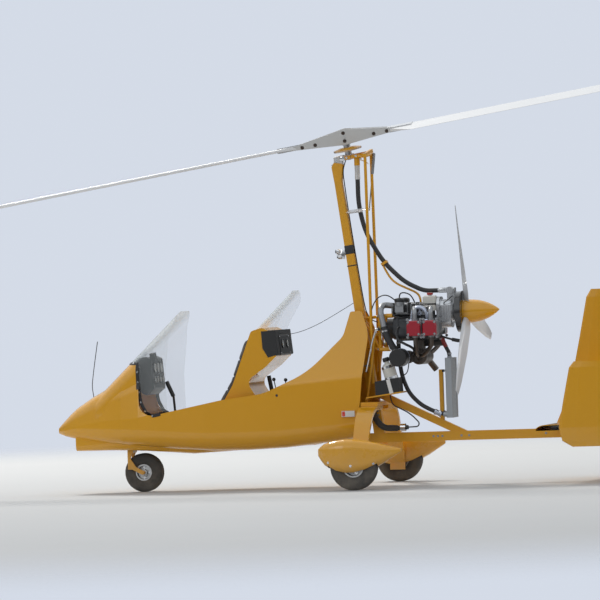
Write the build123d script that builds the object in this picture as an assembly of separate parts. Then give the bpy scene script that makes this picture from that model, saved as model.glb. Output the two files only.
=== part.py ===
from build123d import *

import os
from math import cos, radians, sin, tan

# A two-seat tandem gyrocopter, in millimetres. X runs aft, Y to starboard and Z up; the origin
# is on the ground, in the plane of symmetry, below the rotor's teeter bolt.

# General clearances
SEAT = 0.3              # gap where a curved piece seats on another
RUN = 0.05              # radial clearance of a shaft in its bearing

# Hull
WALL = 10.0             # thickness of the moulded shell
HULL_BACK = 260.0       # where the hull's sections end, behind its trimmed rear edge
COWL_TOP = 1000.0       # height where the nose cowl ends and the front screen begins
COWL_BACK = -1650.0     # rear edge of the cowl on the cockpit's sides
SILL_DROP = 575.0       # height of the corner where the cowl's edge meets the sill

# Sections of the hull, nose to tail: station x, half width at the waist, half width at the top,
# height of the keel line, of the waist and of the top, radius of the lower and upper corners.
HULL_SECTIONS = [
    (-2364, 28, 26, 470, 492, 514, 15, 15),
    (-2300, 96, 88, 448, 500, 572, 45, 52),
    (-2190, 160, 145, 424, 520, 668, 85, 96),
    (-1940, 240, 215, 388, 560, 808, 115, 130),
    (-1650, 296, 270, 360, 580, 925, 130, 140),
    (-1100, 338, 230, 312, 700, 1180, 140, 100),
    (-500, 328, 120, 318, 800, 1366, 140, 60),
    (HULL_BACK, 278, 75, 395, 860, 1366, 120, 50),
]

# The chin under the nose: station x, half width, height of its floor and of its roof, radius.
CHIN_SECTIONS = [
    (-2205, 120, 332, 470, 40),
    (-1900, 165, 331, 520, 60),
    (-1640, 178, 321, 520, 65),
    (-1250, 190, 290, 520, 70),
    (-300, 190, 331, 520, 70),
]

# The screen's bubble, which the cowl carries on: station x, half width, floor, top, radius.
BUBBLE_SECTIONS = [
    (-2010, 225, 500, 745, 120),
    (-1320, 300, 500, 1398, 185),
]
SCREEN = 4.0            # thickness of the clear screens

# Side outline of the moulded hull (x, z, corner radius), clockwise from its front top.
HULL_OUTLINE = [
    (-2600, COWL_TOP, 0),
    (COWL_BACK, COWL_TOP, 0),
    (COWL_BACK + 8, SILL_DROP, 105),
    (-973, 701, 700),
    (-640, 741, 420),
    (-300, 890, 700),
    (-32, 1160, 130),
    (14, 1347, 16),
    (100, 1352, 34),
    (166, 1180, 300),
    (108, 640, 500),
    (34, 330, 0),
    (34, 200, 0),
    (-2600, 200, 0),
]

# Side outline of the clear front screen, above and behind the cowl.
SCREEN_OUTLINE = [
    (-1800, COWL_TOP, 0),
    (COWL_BACK, COWL_TOP, 0),
    (COWL_BACK + 8, SILL_DROP, 105),
    (-1418, 614, 0),
    (-1424, 900, 300),
    (-1382, 1262, 300),
    (-1322, 1400, 0),
    (-1800, 1400, 0),
]

# Hump between the cockpits
HUMP_HALF = 250.0       # half its width
HUMP_WALL = 8.0
HUMP_OUTLINE = [
    (-1082, 300, 0),
    (-1082, 520, 60),
    (-900, 812, 300),
    (-742, 1222, 38),
    (-655, 1246, 30),
    (-566, 1200, 12),
    (-548, 1024, 14),
    (-631, 946, 30),
    (-790, 838, 60),
    (-700, 690, 60),
    (-700, 300, 0),
]

# Rear screen over the pod: section half width and its side outline
REAR_SCREEN_SECTIONS = [
    (-745, 190, 1040, 1215, 70),
    (-430, 205, 1040, 1528, 120),
]
REAR_SCREEN_OUTLINE = [
    (-760, 1180, 0),
    (-585, 1180, 0),
    (-563, 1222, 0),
    (-530, 1290, 80),
    (-448, 1430, 40),
    (-432, 1540, 0),
    (-760, 1540, 0),
]

# Mast: side outline of the welded box tube, and its width
MAST_WIDTH = 60.0
MAST_FOOT = 405.0       # height of its foot, on top of the keel
MAST_OUTLINE = [
    (153, MAST_FOOT, 0),
    (-89, 2326, 200),
    (-111, 2462, 14),
    (-92, 2497, 8),
    (-24, 2487, 8),
    (-38, 2355, 200),
    (236, MAST_FOOT, 0),
]

# Rotor head. Its frame has its origin at the teeter bolt, x along the blades and z up the spindle.
# The spindle leans to port, so the bolt stands off the plane of symmetry, and the bearing is on it.
HEAD_X = 2.0
HEAD_Y = -22.0
HEAD_Z = 2693.0
HEAD_LEAN = 8.8         # degrees the spindle leans forward
HEAD_ROLL = 8.0         # degrees it leans to port
SPINDLE_R = 15.0
DISC_R = 108.0          # ring of the pre-rotator
DISC_DROP = 100.0       # teeter bolt to the ring's mid plane
HOUSING_LOW = -176.0    # bearing housing, below the teeter bolt
HOUSING_HIGH = -138.0
TEETER_R = 8.0          # teeter bolt

# Rotor
ROTOR_R = 4115.0
BLADE_CHORD = 220.0
BLADE_THICK = 26.0
BLADE_PITCH = 6.5       # degrees, leading edge up
BLADE_START = 362.0
BLADE_FULL = 560.0      # where the blade has its full chord, outboard of its tapered root
BLADE_DROP = 10.0       # undersling: blades below the teeter bolt
PLATE_HALF = 360.0      # half the length of the hub's cheek plates
PLATE_PEAK = (-59.0, 64.0)      # the plates' lower and upper edge at their middle
PLATE_TIP = (-30.0, 9.0)        # the same at their ends
PLATE_GAP = 56.0
PLATE_THICK = 8.0
STRAP_THICK = 19.0      # blade's middle to the outside of its root straps
HUB_BAR_START = 60.0    # inner end of the hub bar, clear of the teetering tower

# Propeller
PROP_X = 917.0
PROP_Z = 1320.0
PROP_LEAN = 1.7         # degrees the disc's top leans forward
PROP_R = 850.0
PROP_BLADES = 3
PROP_CLOCK = 15.6       # degrees of the first blade from upright, to port
SPINNER_R = 90.0
DRIVE_PLATE_R = 157.0
SHAFT_R = 28.0

# Undercarriage
TRACK_HALF = 800.0
MAIN_X = 166.0
MAIN_TYRE_R = 180.0
MAIN_TYRE_W = 104.0
MAIN_RIM_R = 82.0
AXLE_R = 12.5
NOSE_X = -1690.0
NOSE_TYRE_R = 150.0
NOSE_TYRE_W = 88.0
NOSE_RIM_R = 64.0

STEER_X = -1786.0       # vertical steering axis, ahead of the nose axle
STEER_WELL_R = 80.0

# Cross beam on the mast, which carries the main legs
BEAM_FRONT = 114.0
BEAM_BACK = 246.0
BEAM_HALF = 285.0
BEAM_LOW = 620.0
BEAM_HIGH = 650.0

# Rotor controls and pre-rotator
ARM_BACK = 162.0
CONTROL_ROD_R = 11.5
HOSE_R = 17.5
HOSE_X = 86.0
HOSE_TOP = 2364.0
HOSE_END = 1488.0       # height of its lower end
HOSE_BACK = 690.0
GEARBOX_TOP = 1440.0

# Engine and cooling
CRANK_Z = 1205.0
MOUNT_X = 248.0
MOUNT_HALF = 118.0
MOUNT_LOW = 1050.0
MOUNT_HIGH = 1305.0
MOUNT_TUBE_R = 11.0
STRUT_TOP = (216.0, 1168.0)
STRUT_FOOT = (136.0, 662.0)
STRUT_Y = 150.0
CASE_FRONT = 350.0
FIN_COUNT = 7
FIN_START = 124.0
FIN_PITCH = 13.5
FIN_THICK = 4.0
FIN_R = 59.0
BOTTLE_X = 634.0
BOTTLE_Y = -45.0
SILENCER_X = 530.0
SILENCER_Z = 985.0
SILENCER_R = 62.0
GEARBOX_FRONT = 690.0
GEARBOX_BACK = 836.0
BOTTLE_Z = 1335.0
RADIATOR_X = 744.0

# Main leg's foot plate and the tail's hinge
FOOT_Y = 716.0          # outboard face of the foot plate, against the spat
FIN_Y = 790.0           # inboard face of the end fins
HINGE_X = 2075.0
LUG_HEIGHTS = [(560, 600), (920, 960), (1330, 1370)]
LUG_R = 12.0
PINTLE_R = 4.0

# Keel and tail
KEEL_LOW = 334.0
KEEL_HIGH = MAST_FOOT
KEEL_WIDTH = 52.0
KEEL_FRONT = -180.0
KEEL_BACK = 2230.0
TUBE_WALL = 3.0         # wall of the keel tube
TAIL_WALL = 5.0         # wall of the hollow stabiliser


def rounded(points, radii, place):
    """Closed wire through the points, each corner turned by a tangent arc of its radius."""
    corners = [place(*point) for point in points]
    count = len(corners)
    lengths = [(corners[(index + 1) % count] - corner).length
               for index, corner in enumerate(corners)]
    backs, aheads, halves = [], [], []
    for index, corner in enumerate(corners):
        backs.append((corners[index - 1] - corner).normalized())
        aheads.append((corners[(index + 1) % count] - corner).normalized())
        halves.append(radians(backs[index].get_angle(aheads[index])) / 2)
    cuts = [radius / tan(half) for radius, half in zip(radii, halves)]
    # Two neighbouring arcs never take more than the side between them.
    shares = [min(1, 0.98 * length / max(cuts[index] + cuts[(index + 1) % count], 1e-6))
              for index, length in enumerate(lengths)]
    edges, ends = [], []
    starts = []
    for index, corner in enumerate(corners):
        share = min(shares[index - 1], shares[index])
        cut, radius = cuts[index] * share, radii[index] * share
        start = corner + backs[index] * cut
        end = corner + aheads[index] * cut
        starts.append(start)
        ends.append(end)
        if radius > 0:
            toward = (backs[index] + aheads[index]).normalized()
            middle = corner + toward * (radius / sin(halves[index]) - radius)
            edges.append(Edge.make_three_point_arc(start, middle, end))
        else:
            edges.append(None)
    loop = []
    for index in range(count):
        if edges[index] is not None:
            loop.append(edges[index])
        following = starts[(index + 1) % count]
        if (following - ends[index]).length > 1e-4:
            loop.append(Edge.make_line(ends[index], following))
    return Wire(loop)


def across(outline, low, high):
    """Prism of a side outline (x, z, radius), from y = low to y = high."""
    points = [(x, z) for x, z, radius in outline]
    radii = [radius for x, z, radius in outline]
    wire = rounded(points, radii, lambda x, z: Vector(x, low, z))
    return extrude(Face(wire), amount=high - low, dir=(0, 1, 0))


def along(outline, low, high):
    """Prism of a front outline (y, z, radius), from x = low to x = high."""
    points = [(y, z) for y, z, radius in outline]
    radii = [radius for y, z, radius in outline]
    wire = rounded(points, radii, lambda y, z: Vector(low, y, z))
    return extrude(Face(wire), amount=high - low, dir=(1, 0, 0))


def upward(outline, low, high):
    """Prism of a plan outline (x, y, radius), from z = low to z = high."""
    points = [(x, y) for x, y, radius in outline]
    radii = [radius for x, y, radius in outline]
    wire = rounded(points, radii, lambda x, y: Vector(x, y, low))
    return extrude(Face(wire), amount=high - low, dir=(0, 0, 1))


def block(x, y, z):
    """Box from (low, high) pairs along each axis."""
    corner = Vector(x[0], y[0], z[0])
    return Solid.make_box(x[1] - x[0], y[1] - y[0], z[1] - z[0], Plane(corner))


def rod(start, end, radius):
    """Round bar between two points."""
    start, end = Vector(*start), Vector(*end)
    return Solid.make_cylinder(radius, (end - start).length, Plane(start, z_dir=end - start))


def pipe(points, radius):
    """Round bar along straight runs, with arcs as large as the runs allow."""
    corners = [Vector(*point) for point in points]
    bends = []
    for before, corner, after in zip(corners, corners[1:], corners[2:]):
        half_turn = radians((corner - before).get_angle(after - corner)) / 2
        shorter = min((corner - before).length, (after - corner).length)
        bends.append(0.45 * shorter / tan(half_turn))
    path = FilletPolyline(*corners, radius=bends) if bends else Line(*corners)
    return sweep(Plane(path @ 0, z_dir=path % 0) * Circle(radius), path=path)


def turned(outline, axis):
    """Solid of revolution of (radius, distance along the axis, corner radius) points."""
    points = [(radius, height) for radius, height, corner in outline]
    radii = [corner for radius, height, corner in outline]
    wire = rounded(points, radii, lambda radius, height: Vector(radius, 0, height))
    return axis * revolve(Face(wire), Axis.Z)


def strip(line, thick, bend):
    """Outline of a bent strip of even thickness along three points of its middle line."""
    (ax, ay), (bx, by), (cx, cy) = line
    first = Vector(bx - ax, by - ay).normalized()
    second = Vector(cx - bx, cy - by).normalized()
    side_first = Vector(-first.Y, first.X) * (thick / 2)
    side_second = Vector(-second.Y, second.X) * (thick / 2)
    mitre = (side_first + side_second).normalized()
    mitre = mitre * (thick / 2 / cos(radians(first.get_angle(second)) / 2))
    turn = first.X * second.Y - first.Y * second.X
    left_bend = bend - thick / 2 if turn > 0 else bend + thick / 2
    right_bend = bend + thick / 2 if turn > 0 else bend - thick / 2
    a, b, c = Vector(ax, ay), Vector(bx, by), Vector(cx, cy)
    left = [(a + side_first, 0), (b + mitre, left_bend), (c + side_second, 0)]
    right = [(c - side_second, 0), (b - mitre, right_bend), (a - side_first, 0)]
    return [(point.X, point.Y, radius) for point, radius in left + right]


def mirrored(shape):
    """The same piece on the other side of the plane of symmetry."""
    return shape.mirror(Plane.XZ)


def faired(rows):
    """The rows with one more between each two, on smooth curves through them."""
    slopes = []
    for index in range(len(rows)):
        before, after = rows[max(index - 1, 0)], rows[min(index + 1, len(rows) - 1)]
        slopes.append([(high - low) / (after[0] - before[0]) for low, high in zip(before, after)])
    result = [rows[0]]
    for index in range(1, len(rows)):
        low, high = rows[index - 1], rows[index]
        length = high[0] - low[0]
        bends = [(first - second) * length / 8
                 for first, second in zip(slopes[index - 1], slopes[index])]
        middle = [(first + second) / 2 + bend for first, second, bend in zip(low, high, bends)]
        result += [tuple(middle), high]
    return result


def hull_ring(row, inset):
    """One section of the hull, six corners, set in by the wall."""
    x, waist, top, low, middle, high, low_r, high_r = row
    waist, top, low, high = waist - inset, top - inset, low + inset, high - inset
    low_r, high_r = max(low_r - inset, 4), max(high_r - inset, 4)
    points = [(-waist, low), (waist, low), (waist, middle), (top, high), (-top, high),
              (-waist, middle)]
    radii = [low_r, low_r, 90 if waist > 120 else waist / 3, high_r, high_r,
             90 if waist > 120 else waist / 3]
    return rounded(points, radii, lambda y, z: Vector(x, y, z))


def box_ring(row, inset):
    """One round-cornered four-sided section."""
    x, half, low, high, radius = row
    half, low, high, radius = half - inset, low + inset, high - inset, max(radius - inset, 4)
    points = [(-half, low), (half, low), (half, high), (-half, high)]
    return rounded(points, [radius] * 4, lambda y, z: Vector(x, y, z))


def hull_solid(inset):
    """The hull's closed form: tub, chin and bubble."""
    tub = Solid.make_loft([hull_ring(row, inset) for row in faired(HULL_SECTIONS)], True)
    rows = [(x + inset if index == 0 else x, half, low, high, radius)
            for index, (x, half, low, high, radius) in enumerate(CHIN_SECTIONS)]
    chin = Solid.make_loft([box_ring(row, inset) for row in rows], True)
    bubble = Solid.make_loft([box_ring(row, inset) for row in BUBBLE_SECTIONS], True)
    return tub + chin + bubble


def foil_ring(height, lead, trail, thick):
    """Horizontal section of an upright fin: rounded nose, thickest a third back, thin tail."""
    chord = trail - lead
    points = [(lead, 0), (lead + chord * 0.06, -thick * 0.42), (lead + chord * 0.34, -thick / 2),
              (trail, -2), (trail, 2), (lead + chord * 0.34, thick / 2),
              (lead + chord * 0.06, thick * 0.42)]
    radii = [thick * 0.12, thick * 0.3, chord * 0.4, 0, 0, chord * 0.4, thick * 0.3]
    return rounded(points, radii, lambda x, y: Vector(x, y, height))


def upright_fin(rows):
    """Upright fin through (height, leading edge, trailing edge, thickness) rows."""
    return Solid.make_loft([foil_ring(*row) for row in rows], True)


def head(shape):
    """Places a piece drawn in the rotor head's frame."""
    return Pos(HEAD_X, HEAD_Y, HEAD_Z) * Rot(0, -HEAD_LEAN, 0) * Rot(HEAD_ROLL, 0, 0) * shape


def prop(shape):
    """Places a piece drawn in the propeller's frame, z along the shaft and aft."""
    return Pos(PROP_X, 0, PROP_Z) * Rot(0, 90 - PROP_LEAN, 0) * shape


parts = {}

# Hull
outer = hull_solid(0)
cavity = hull_solid(WALL)
mast_tube = across(MAST_OUTLINE, -MAST_WIDTH / 2, MAST_WIDTH / 2)
mast_hole = across(MAST_OUTLINE, -MAST_WIDTH / 2 - SEAT, MAST_WIDTH / 2 + SEAT)
keel_half = KEEL_WIDTH / 2
keel_slot = block((KEEL_FRONT, KEEL_BACK), (-keel_half - SEAT, keel_half + SEAT), (200, KEEL_HIGH))
steer_hole = rod((STEER_X, 0, 200), (STEER_X, 0, 420), STEER_WELL_R)
hull = (outer - cavity) & across(HULL_OUTLINE, -500, 500)
parts["hull_shell"] = hull - mast_hole - keel_slot - steer_hole

bulkhead_line = [(-66, 380, 0), (-58, 380, 0), (22, 1180, 0), (14, 1180, 0)]
parts["rear_bulkhead"] = (cavity & across(bulkhead_line, -400, 400)) - keel_slot

# Screens
bubble_out = Solid.make_loft([box_ring(row, 0) for row in BUBBLE_SECTIONS], True)
bubble_in = Solid.make_loft([box_ring(row, SCREEN) for row in BUBBLE_SECTIONS], True)
parts["front_screen"] = (bubble_out - bubble_in) & across(SCREEN_OUTLINE, -500, 500)
hump_outer = across(HUMP_OUTLINE, -HUMP_HALF, HUMP_HALF)
pod_out = Solid.make_loft([box_ring(row, 0) for row in REAR_SCREEN_SECTIONS], True)
pod_in = Solid.make_loft([box_ring(row, SCREEN) for row in REAR_SCREEN_SECTIONS], True)
rear_screen = (pod_out - pod_in) & across(REAR_SCREEN_OUTLINE, -500, 500)
parts["rear_screen"] = rear_screen - hump_outer

# Hump, hollow and open below
hump_inner_line = [
    (-1074, 250, 0),
    (-1074, 517, 60),
    (-893, 808, 300),
    (-735, 1212, 30),
    (-655, 1238, 26),
    (-574, 1196, 8),
    (-556, 1030, 8),
    (-636, 954, 24),
    (-801, 841, 60),
    (-708, 687, 60),
    (-708, 250, 0),
]
hump_inner = across(hump_inner_line, -HUMP_HALF + HUMP_WALL, HUMP_HALF - HUMP_WALL)
hump = hump_outer - hump_inner
low_zone = block((-1200, -500), (-400, 400), (250, 600))
parts["seat_hump"] = (hump - low_zone) + (hump & low_zone & cavity) - keel_slot

# Seats
front_pan_line = [(-1400, 280, 0), (-1400, 452, 40), (-1094, 424, 20), (-1094, 280, 0)]
front_back_line = [
    (-1128, 548, 15),
    (-945, 832, 300),
    (-800, 1172, 25),
    (-758, 1172, 0),
    (-840, 940, 0),
    (-1040, 548, 0),
]
parts["front_seat"] = (across(front_pan_line, -205, 205) & cavity) + (
    across(front_back_line, -200, 200) - hump_outer)
base_line = [(-575, 280, 0), (-575, 545, 30), (-72, 520, 0), (-72, 280, 0)]
bulkhead_zone = across([(-66, 380, 0), (400, 380, 0), (400, 1180, 0), (14, 1180, 0)], -400, 400)
base = (across(base_line, -240, 240) & cavity) - bulkhead_zone - keel_slot
parts["seat_base"] = base
rear_pan_line = [(-560, 545, 0), (-552, 610, 30), (-110, 585, 20), (-70, 480, 0), (-560, 480, 0)]
rear_back_line = [(-104, 600, 20), (-58, 1090, 25), (10, 1090, 0), (-20, 600, 0)]
rear_pan = across(rear_pan_line, -205, 205) - across(base_line, -240, 240) - bulkhead_zone
parts["rear_seat"] = rear_pan + ((across(rear_back_line, -180, 180) & cavity) - bulkhead_zone)

# Instrument panels
front_panel_line = [
    (-1810, 860, 0),
    (-1810, 1030, 0),
    (-1600, 1048, 20),
    (-1562, 1030, 15),
    (-1545, 800, 20),
    (-1605, 748, 20),
]
front_panel = across(front_panel_line, -170, 170) & cavity
rear_panel_line = [(-566, 1186, 0), (-542, 1186, 6), (-526, 1034, 6), (-549, 1034, 0)]
parts["instrument_panels"] = front_panel + (across(rear_panel_line, -160, 160) - hump_outer)

# Sticks and levers
front_stick = rod((-1405, 0, 300), (-1439, 0, 740), 9) & (cavity + block(
    (-1500, -1300), (-60, 60), (450, 900)))
front_grip = rod((-1439, 0, 735), (-1490, 0, 850), 16)
rear_stick = rod((-640, 0, 320), (-652, 0, 760), 9) & (cavity + block(
    (-700, -560), (-60, 60), (450, 900)))
rear_grip = rod((-651, 0, 755), (-672, 0, 872), 16)
sticks = (front_stick - across(front_pan_line, -205, 205) + front_grip) + (rear_stick + rear_grip)
levers = []
for foot, knob in [((-520, -222, 530), (-578, -222, 846)), ((-500, -222, 530), (-485, -222, 840))]:
    levers.append(rod(foot, knob, 4) - across(base_line, -240, 240))
    levers.append(Pos(*knob) * Sphere(14))
pedals = [rod((-1885, side * 78, 315), (-1915, side * 78, 600), 7) & cavity for side in (-1, 1)]
pads = [block((-1925, -1905), (side * 78 - 38, side * 78 + 38), (575, 625)) for side in (-1, 1)]
for piece in levers + pedals + pads:
    sticks = sticks + piece
parts["cockpit_controls"] = sticks

# Mast with its cross beam for the legs
beam = block((BEAM_FRONT, BEAM_BACK), (-BEAM_HALF, BEAM_HALF), (BEAM_LOW, BEAM_HIGH))
parts["mast"] = mast_tube + beam

# Rotor head
frame_body = head(block((-118, 34), (-30, 30), (HOUSING_LOW, HOUSING_HIGH)))
bearing_bore = head(rod((0, 0, -260), (0, 0, 0), SPINDLE_R + RUN))
pivot = block((-92, -26), (-24, 24), (2440, 2530)) - mast_tube
pivot = pivot & block((-200, 0), (-60, 60), (2485, 2530))
parts["head_frame"] = frame_body + pivot - bearing_bore
arm = block((-30, ARM_BACK), (30, 36), (HOUSING_LOW + 4, HOUSING_HIGH - 6))
arm_bar = block((ARM_BACK - 26, ARM_BACK), (-140, 140), (HOUSING_LOW + 4, HOUSING_HIGH - 6))
parts["head_arm"] = head(arm + arm.mirror(Plane.XZ) + arm_bar)

rods = []
for side in (-1, 1):
    top = head(Pos(ARM_BACK - 13, side * 118, HOUSING_LOW + 12)).position
    foot = (182, top.Y, 790)
    rods.append(rod(top, foot, CONTROL_ROD_R) - parts["head_arm"])
parts["control_rods"] = rods[0] + rods[1]

# Pre-rotator: pinion housing below the ring, its fitting and the drive hose
pinion = rod((HOSE_X, 0, 2470), (HOSE_X, 0, 2556), 22)
fitting = rod((HOSE_X, 0, HOSE_TOP), (HOSE_X, 0, 2470), 18)
pinion_stay = head(block((34, 75), (-14, 14), (HOUSING_LOW + 6, HOUSING_HIGH - 8)))
parts["pinion_housing"] = pinion + fitting + pinion_stay
hose_route = [(HOSE_X, 0, HOSE_TOP), (HOSE_X, 0, 2170), (134, 0, 1950), (270, 0, 1715),
              (430, 0, 1560), (580, 0, HOSE_END), (HOSE_BACK, 0, HOSE_END)]
parts["drive_hose"] = pipe(hose_route, HOSE_R)

# Spindle and ring, which turn with the rotor
tower = block((-34, 34), (-22, 22), (-60, 20))
teeter_bore = rod((0, -60, 0), (0, 60, 0), TEETER_R + RUN)
spindle = rod((0, 0, HOUSING_LOW - 4), (0, 0, -55), SPINDLE_R)
collar = rod((0, 0, HOUSING_HIGH + 2), (0, 0, -60), 26)
dish_line = [(0, -6, 0), (DISC_R, -6, 0), (DISC_R, 6, 3), (58, 18, 20), (0, 18, 0)]
ring = turned(dish_line, Pos(0, 0, -DISC_DROP))
parts["spindle"] = head(tower + spindle + collar - teeter_bore)
parts["drive_ring"] = head(ring - rod((0, 0, -200), (0, 0, 0), 26))

# Rotor
plate_line = [
    (-PLATE_HALF, PLATE_TIP[0], 4),
    (-PLATE_HALF, PLATE_TIP[1], 4),
    (0, PLATE_PEAK[1], 60),
    (PLATE_HALF, PLATE_TIP[1], 4),
    (PLATE_HALF, PLATE_TIP[0], 4),
    (0, PLATE_PEAK[0], 300),
]
gap = PLATE_GAP / 2
near_plate = across(plate_line, -gap - PLATE_THICK, -gap)
far_plate = across(plate_line, gap, gap + PLATE_THICK)
bolt = rod((0, -gap - PLATE_THICK - 8, 0), (0, gap + PLATE_THICK + 8, 0), TEETER_R)
parts["hub_plates"] = head(near_plate + far_plate + bolt)

# Blades: the root's two corners are cut back to the width of the hub
lead, trail, cheek = BLADE_CHORD * 0.25, -BLADE_CHORD * 0.75, gap + PLATE_THICK
blade_line = [
    (lead, 0, 6),
    (BLADE_CHORD * 0.21, BLADE_THICK * 0.48, 12),
    (-BLADE_CHORD * 0.05, BLADE_THICK * 0.56, 250),
    (trail, 1, 0),
    (trail, -1, 0),
    (-BLADE_CHORD * 0.05, -BLADE_THICK * 0.44, 250),
    (BLADE_CHORD * 0.21, -BLADE_THICK * 0.42, 12),
]
planform = [(BLADE_START, -cheek, 0), (BLADE_FULL, trail, 0), (ROTOR_R, trail - 1, 0),
            (ROTOR_R, lead + 1, 0), (BLADE_FULL, lead, 0), (BLADE_START, cheek, 0)]
blade = along(blade_line, BLADE_START, ROTOR_R) & upward(planform, -BLADE_THICK, BLADE_THICK)
straps = block((BLADE_START, BLADE_FULL - 20), (-cheek, cheek), (-STRAP_THICK, STRAP_THICK))
shank = block((BLADE_START - 26, BLADE_START), (-gap + 3, gap - 3), (-STRAP_THICK, STRAP_THICK))
# The hub bar lies between the cheek plates and stays 3 mm inside their outline.
slope_high = (PLATE_PEAK[1] - PLATE_TIP[1]) / PLATE_HALF
slope_low = (PLATE_PEAK[0] - PLATE_TIP[0]) / PLATE_HALF
bar_line = [(x, PLATE_PEAK[side] + BLADE_DROP + inset - slope * x, 0)
            for x, side, inset, slope in [
                (HUB_BAR_START, 0, 3, slope_low), (HUB_BAR_START, 1, -3, slope_high),
                (BLADE_START, 1, -3, slope_high), (BLADE_START, 0, 3, slope_low)]]
tilted = Rot(BLADE_PITCH, 0, 0)
blade = tilted * blade
root = across(bar_line, -gap, gap) + ((tilted * (straps + shank)) - blade)
blades, roots = [], []
for turn in (0, 180):
    place = Rot(0, 0, turn) * Pos(0, 0, -BLADE_DROP)
    blades.append(head(place * blade))
    roots.append(head(place * root))
parts["rotor_blades"] = blades[0] + blades[1]
parts["blade_roots"] = roots[0] + roots[1]

# Keel and its brace
keel = block((KEEL_FRONT, KEEL_BACK), (-keel_half, keel_half), (KEEL_LOW, KEEL_HIGH))
parts["keel"] = keel - block(
    (KEEL_FRONT - 1, KEEL_BACK + 1), (-keel_half + TUBE_WALL, keel_half - TUBE_WALL),
    (KEEL_LOW + TUBE_WALL, KEEL_HIGH - TUBE_WALL))
brace_line = [(150, 762, 0), (883, KEEL_HIGH, 0), (756, KEEL_HIGH, 0), (150, 700, 0)]
brace = across(brace_line, -20, 20) - mast_tube
post = block((676, 706), (-15, 15), (470, 880))
parts["keel_brace"] = brace + post

# Engine mount: a ring of tubes, held off the mast, and its side struts
def tube_run(points, radius=MOUNT_TUBE_R):
    """Straight tubes from point to point with round joints."""
    run = rod(points[0], points[1], radius)
    for start, end in zip(points[1:], points[2:]):
        run = run + rod(start, end, radius) + Pos(*start) * Sphere(radius)
    return run


ring_corners = [(MOUNT_X, -MOUNT_HALF, MOUNT_LOW), (MOUNT_X, MOUNT_HALF, MOUNT_LOW),
                (MOUNT_X, MOUNT_HALF, MOUNT_HIGH), (MOUNT_X, -MOUNT_HALF, MOUNT_HIGH)]
mount = tube_run(ring_corners + ring_corners[:2])
for side in (-1, 1):
    for mast_x, height, end in ((95, 1288, MOUNT_HIGH), (125, 1062, MOUNT_LOW), (95, 1288, MOUNT_LOW)):
        mount = mount + rod((mast_x, side * 12, height), (MOUNT_X, side * MOUNT_HALF, end), MOUNT_TUBE_R)
    for height in (MOUNT_LOW, MOUNT_HIGH):
        mount = mount + rod((MOUNT_X, side * MOUNT_HALF, height),
                            (CASE_FRONT, side * MOUNT_HALF, height), 16)
    mount = mount + rod((MOUNT_X, side * MOUNT_HALF, 1168), (STRUT_TOP[0], side * STRUT_Y, 1168), 8)
struts = rod((STRUT_TOP[0], -STRUT_Y, STRUT_TOP[1]), (STRUT_FOOT[0], -STRUT_Y, STRUT_FOOT[1]), 9)
struts = struts + rod((STRUT_FOOT[0], -STRUT_Y - 11, STRUT_FOOT[1]),
                      (STRUT_FOOT[0], -STRUT_Y + 11, STRUT_FOOT[1]), 15)
mount = mount + struts + mirrored(struts)
parts["engine_mount"] = (mount - parts["mast"]).solids().sort_by(SortBy.VOLUME)[-1]

# Crankcase, with its flange, ribs and the shelf of the bottle
case_line = [(-110, CRANK_Z - 85, 40), (110, CRANK_Z - 85, 40), (95, CRANK_Z + 85, 30),
             (-95, CRANK_Z + 85, 30)]
case = along(case_line, CASE_FRONT, GEARBOX_FRONT)
for x in (CASE_FRONT + 24, GEARBOX_FRONT - 30):
    rib_line = [(y * 1.07, z + (8 if z > CRANK_Z else -8), radius) for y, z, radius in case_line]
    case = case + along(rib_line, x, x + 14)
case = case + block((CASE_FRONT, GEARBOX_FRONT), (-7, 7), (CRANK_Z - 97, CRANK_Z + 97))
generator = rod((CASE_FRONT - 62, 0, CRANK_Z), (CASE_FRONT, 0, CRANK_Z), 78)
starter = rod((GEARBOX_FRONT - 190, 150, CRANK_Z - 108), (GEARBOX_FRONT, 150, CRANK_Z - 108), 38)
starter = starter + block((GEARBOX_FRONT - 150, GEARBOX_FRONT - 110), (80, 150), (
    CRANK_Z - 120, CRANK_Z - 80))
bottle_shelf = block((BOTTLE_X - 40, BOTTLE_X + 30), (BOTTLE_Y - 34, BOTTLE_Y + 34), (CRANK_Z + 85, BOTTLE_Z))
parts["engine_block"] = case + (generator - mount) + bottle_shelf + starter

# Cylinders: finned barrels and liquid-cooled heads, with their flanges and rocker covers
cylinder_rows = [(-1, 556), (-1, 680), (1, 506), (1, 630)]
barrel = rod((0, 92, 0), (0, 225, 0), 46)
for index in range(FIN_COUNT):
    fin_y = FIN_START + index * FIN_PITCH
    barrel = barrel + rod((0, fin_y, 0), (0, fin_y + FIN_THICK, 0), FIN_R)
head_box = block((-56, 56), (225, 295), (-56, 56))
head_box = fillet(head_box.edges().filter_by(Axis.Y), 14)
head_box = head_box + rod((0, 262, 50), (0, 262, 72), 24) + rod((0, 262, -72), (0, 262, -50), 24)
head_box = head_box + rod((-38, 300, 0), (-38, 225, 0), 8)
cylinder = barrel + head_box
cover_line = [(-53, -58, 16), (53, -58, 16), (53, 24, 30), (37, 58, 14), (-37, 58, 14), (-53, 24, 30)]
cover = across(cover_line, 295, 333)
cover = chamfer(cover.faces().sort_by(Axis.Y)[-1].edges(), 7)
cylinders, covers = [], []
for side, x in cylinder_rows:
    unit = cylinder if side > 0 else mirrored(cylinder)
    lid = cover if side > 0 else mirrored(cover)
    cylinders.append((Pos(x, 0, CRANK_Z) * unit) - case - starter)
    covers.append((Pos(x, 0, CRANK_Z) * lid) - cylinders[-1])
parts["cylinders"] = cylinders[0] + cylinders[1] + cylinders[2] + cylinders[3]
parts["valve_covers"] = covers[0] + covers[1] + covers[2] + covers[3]

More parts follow.
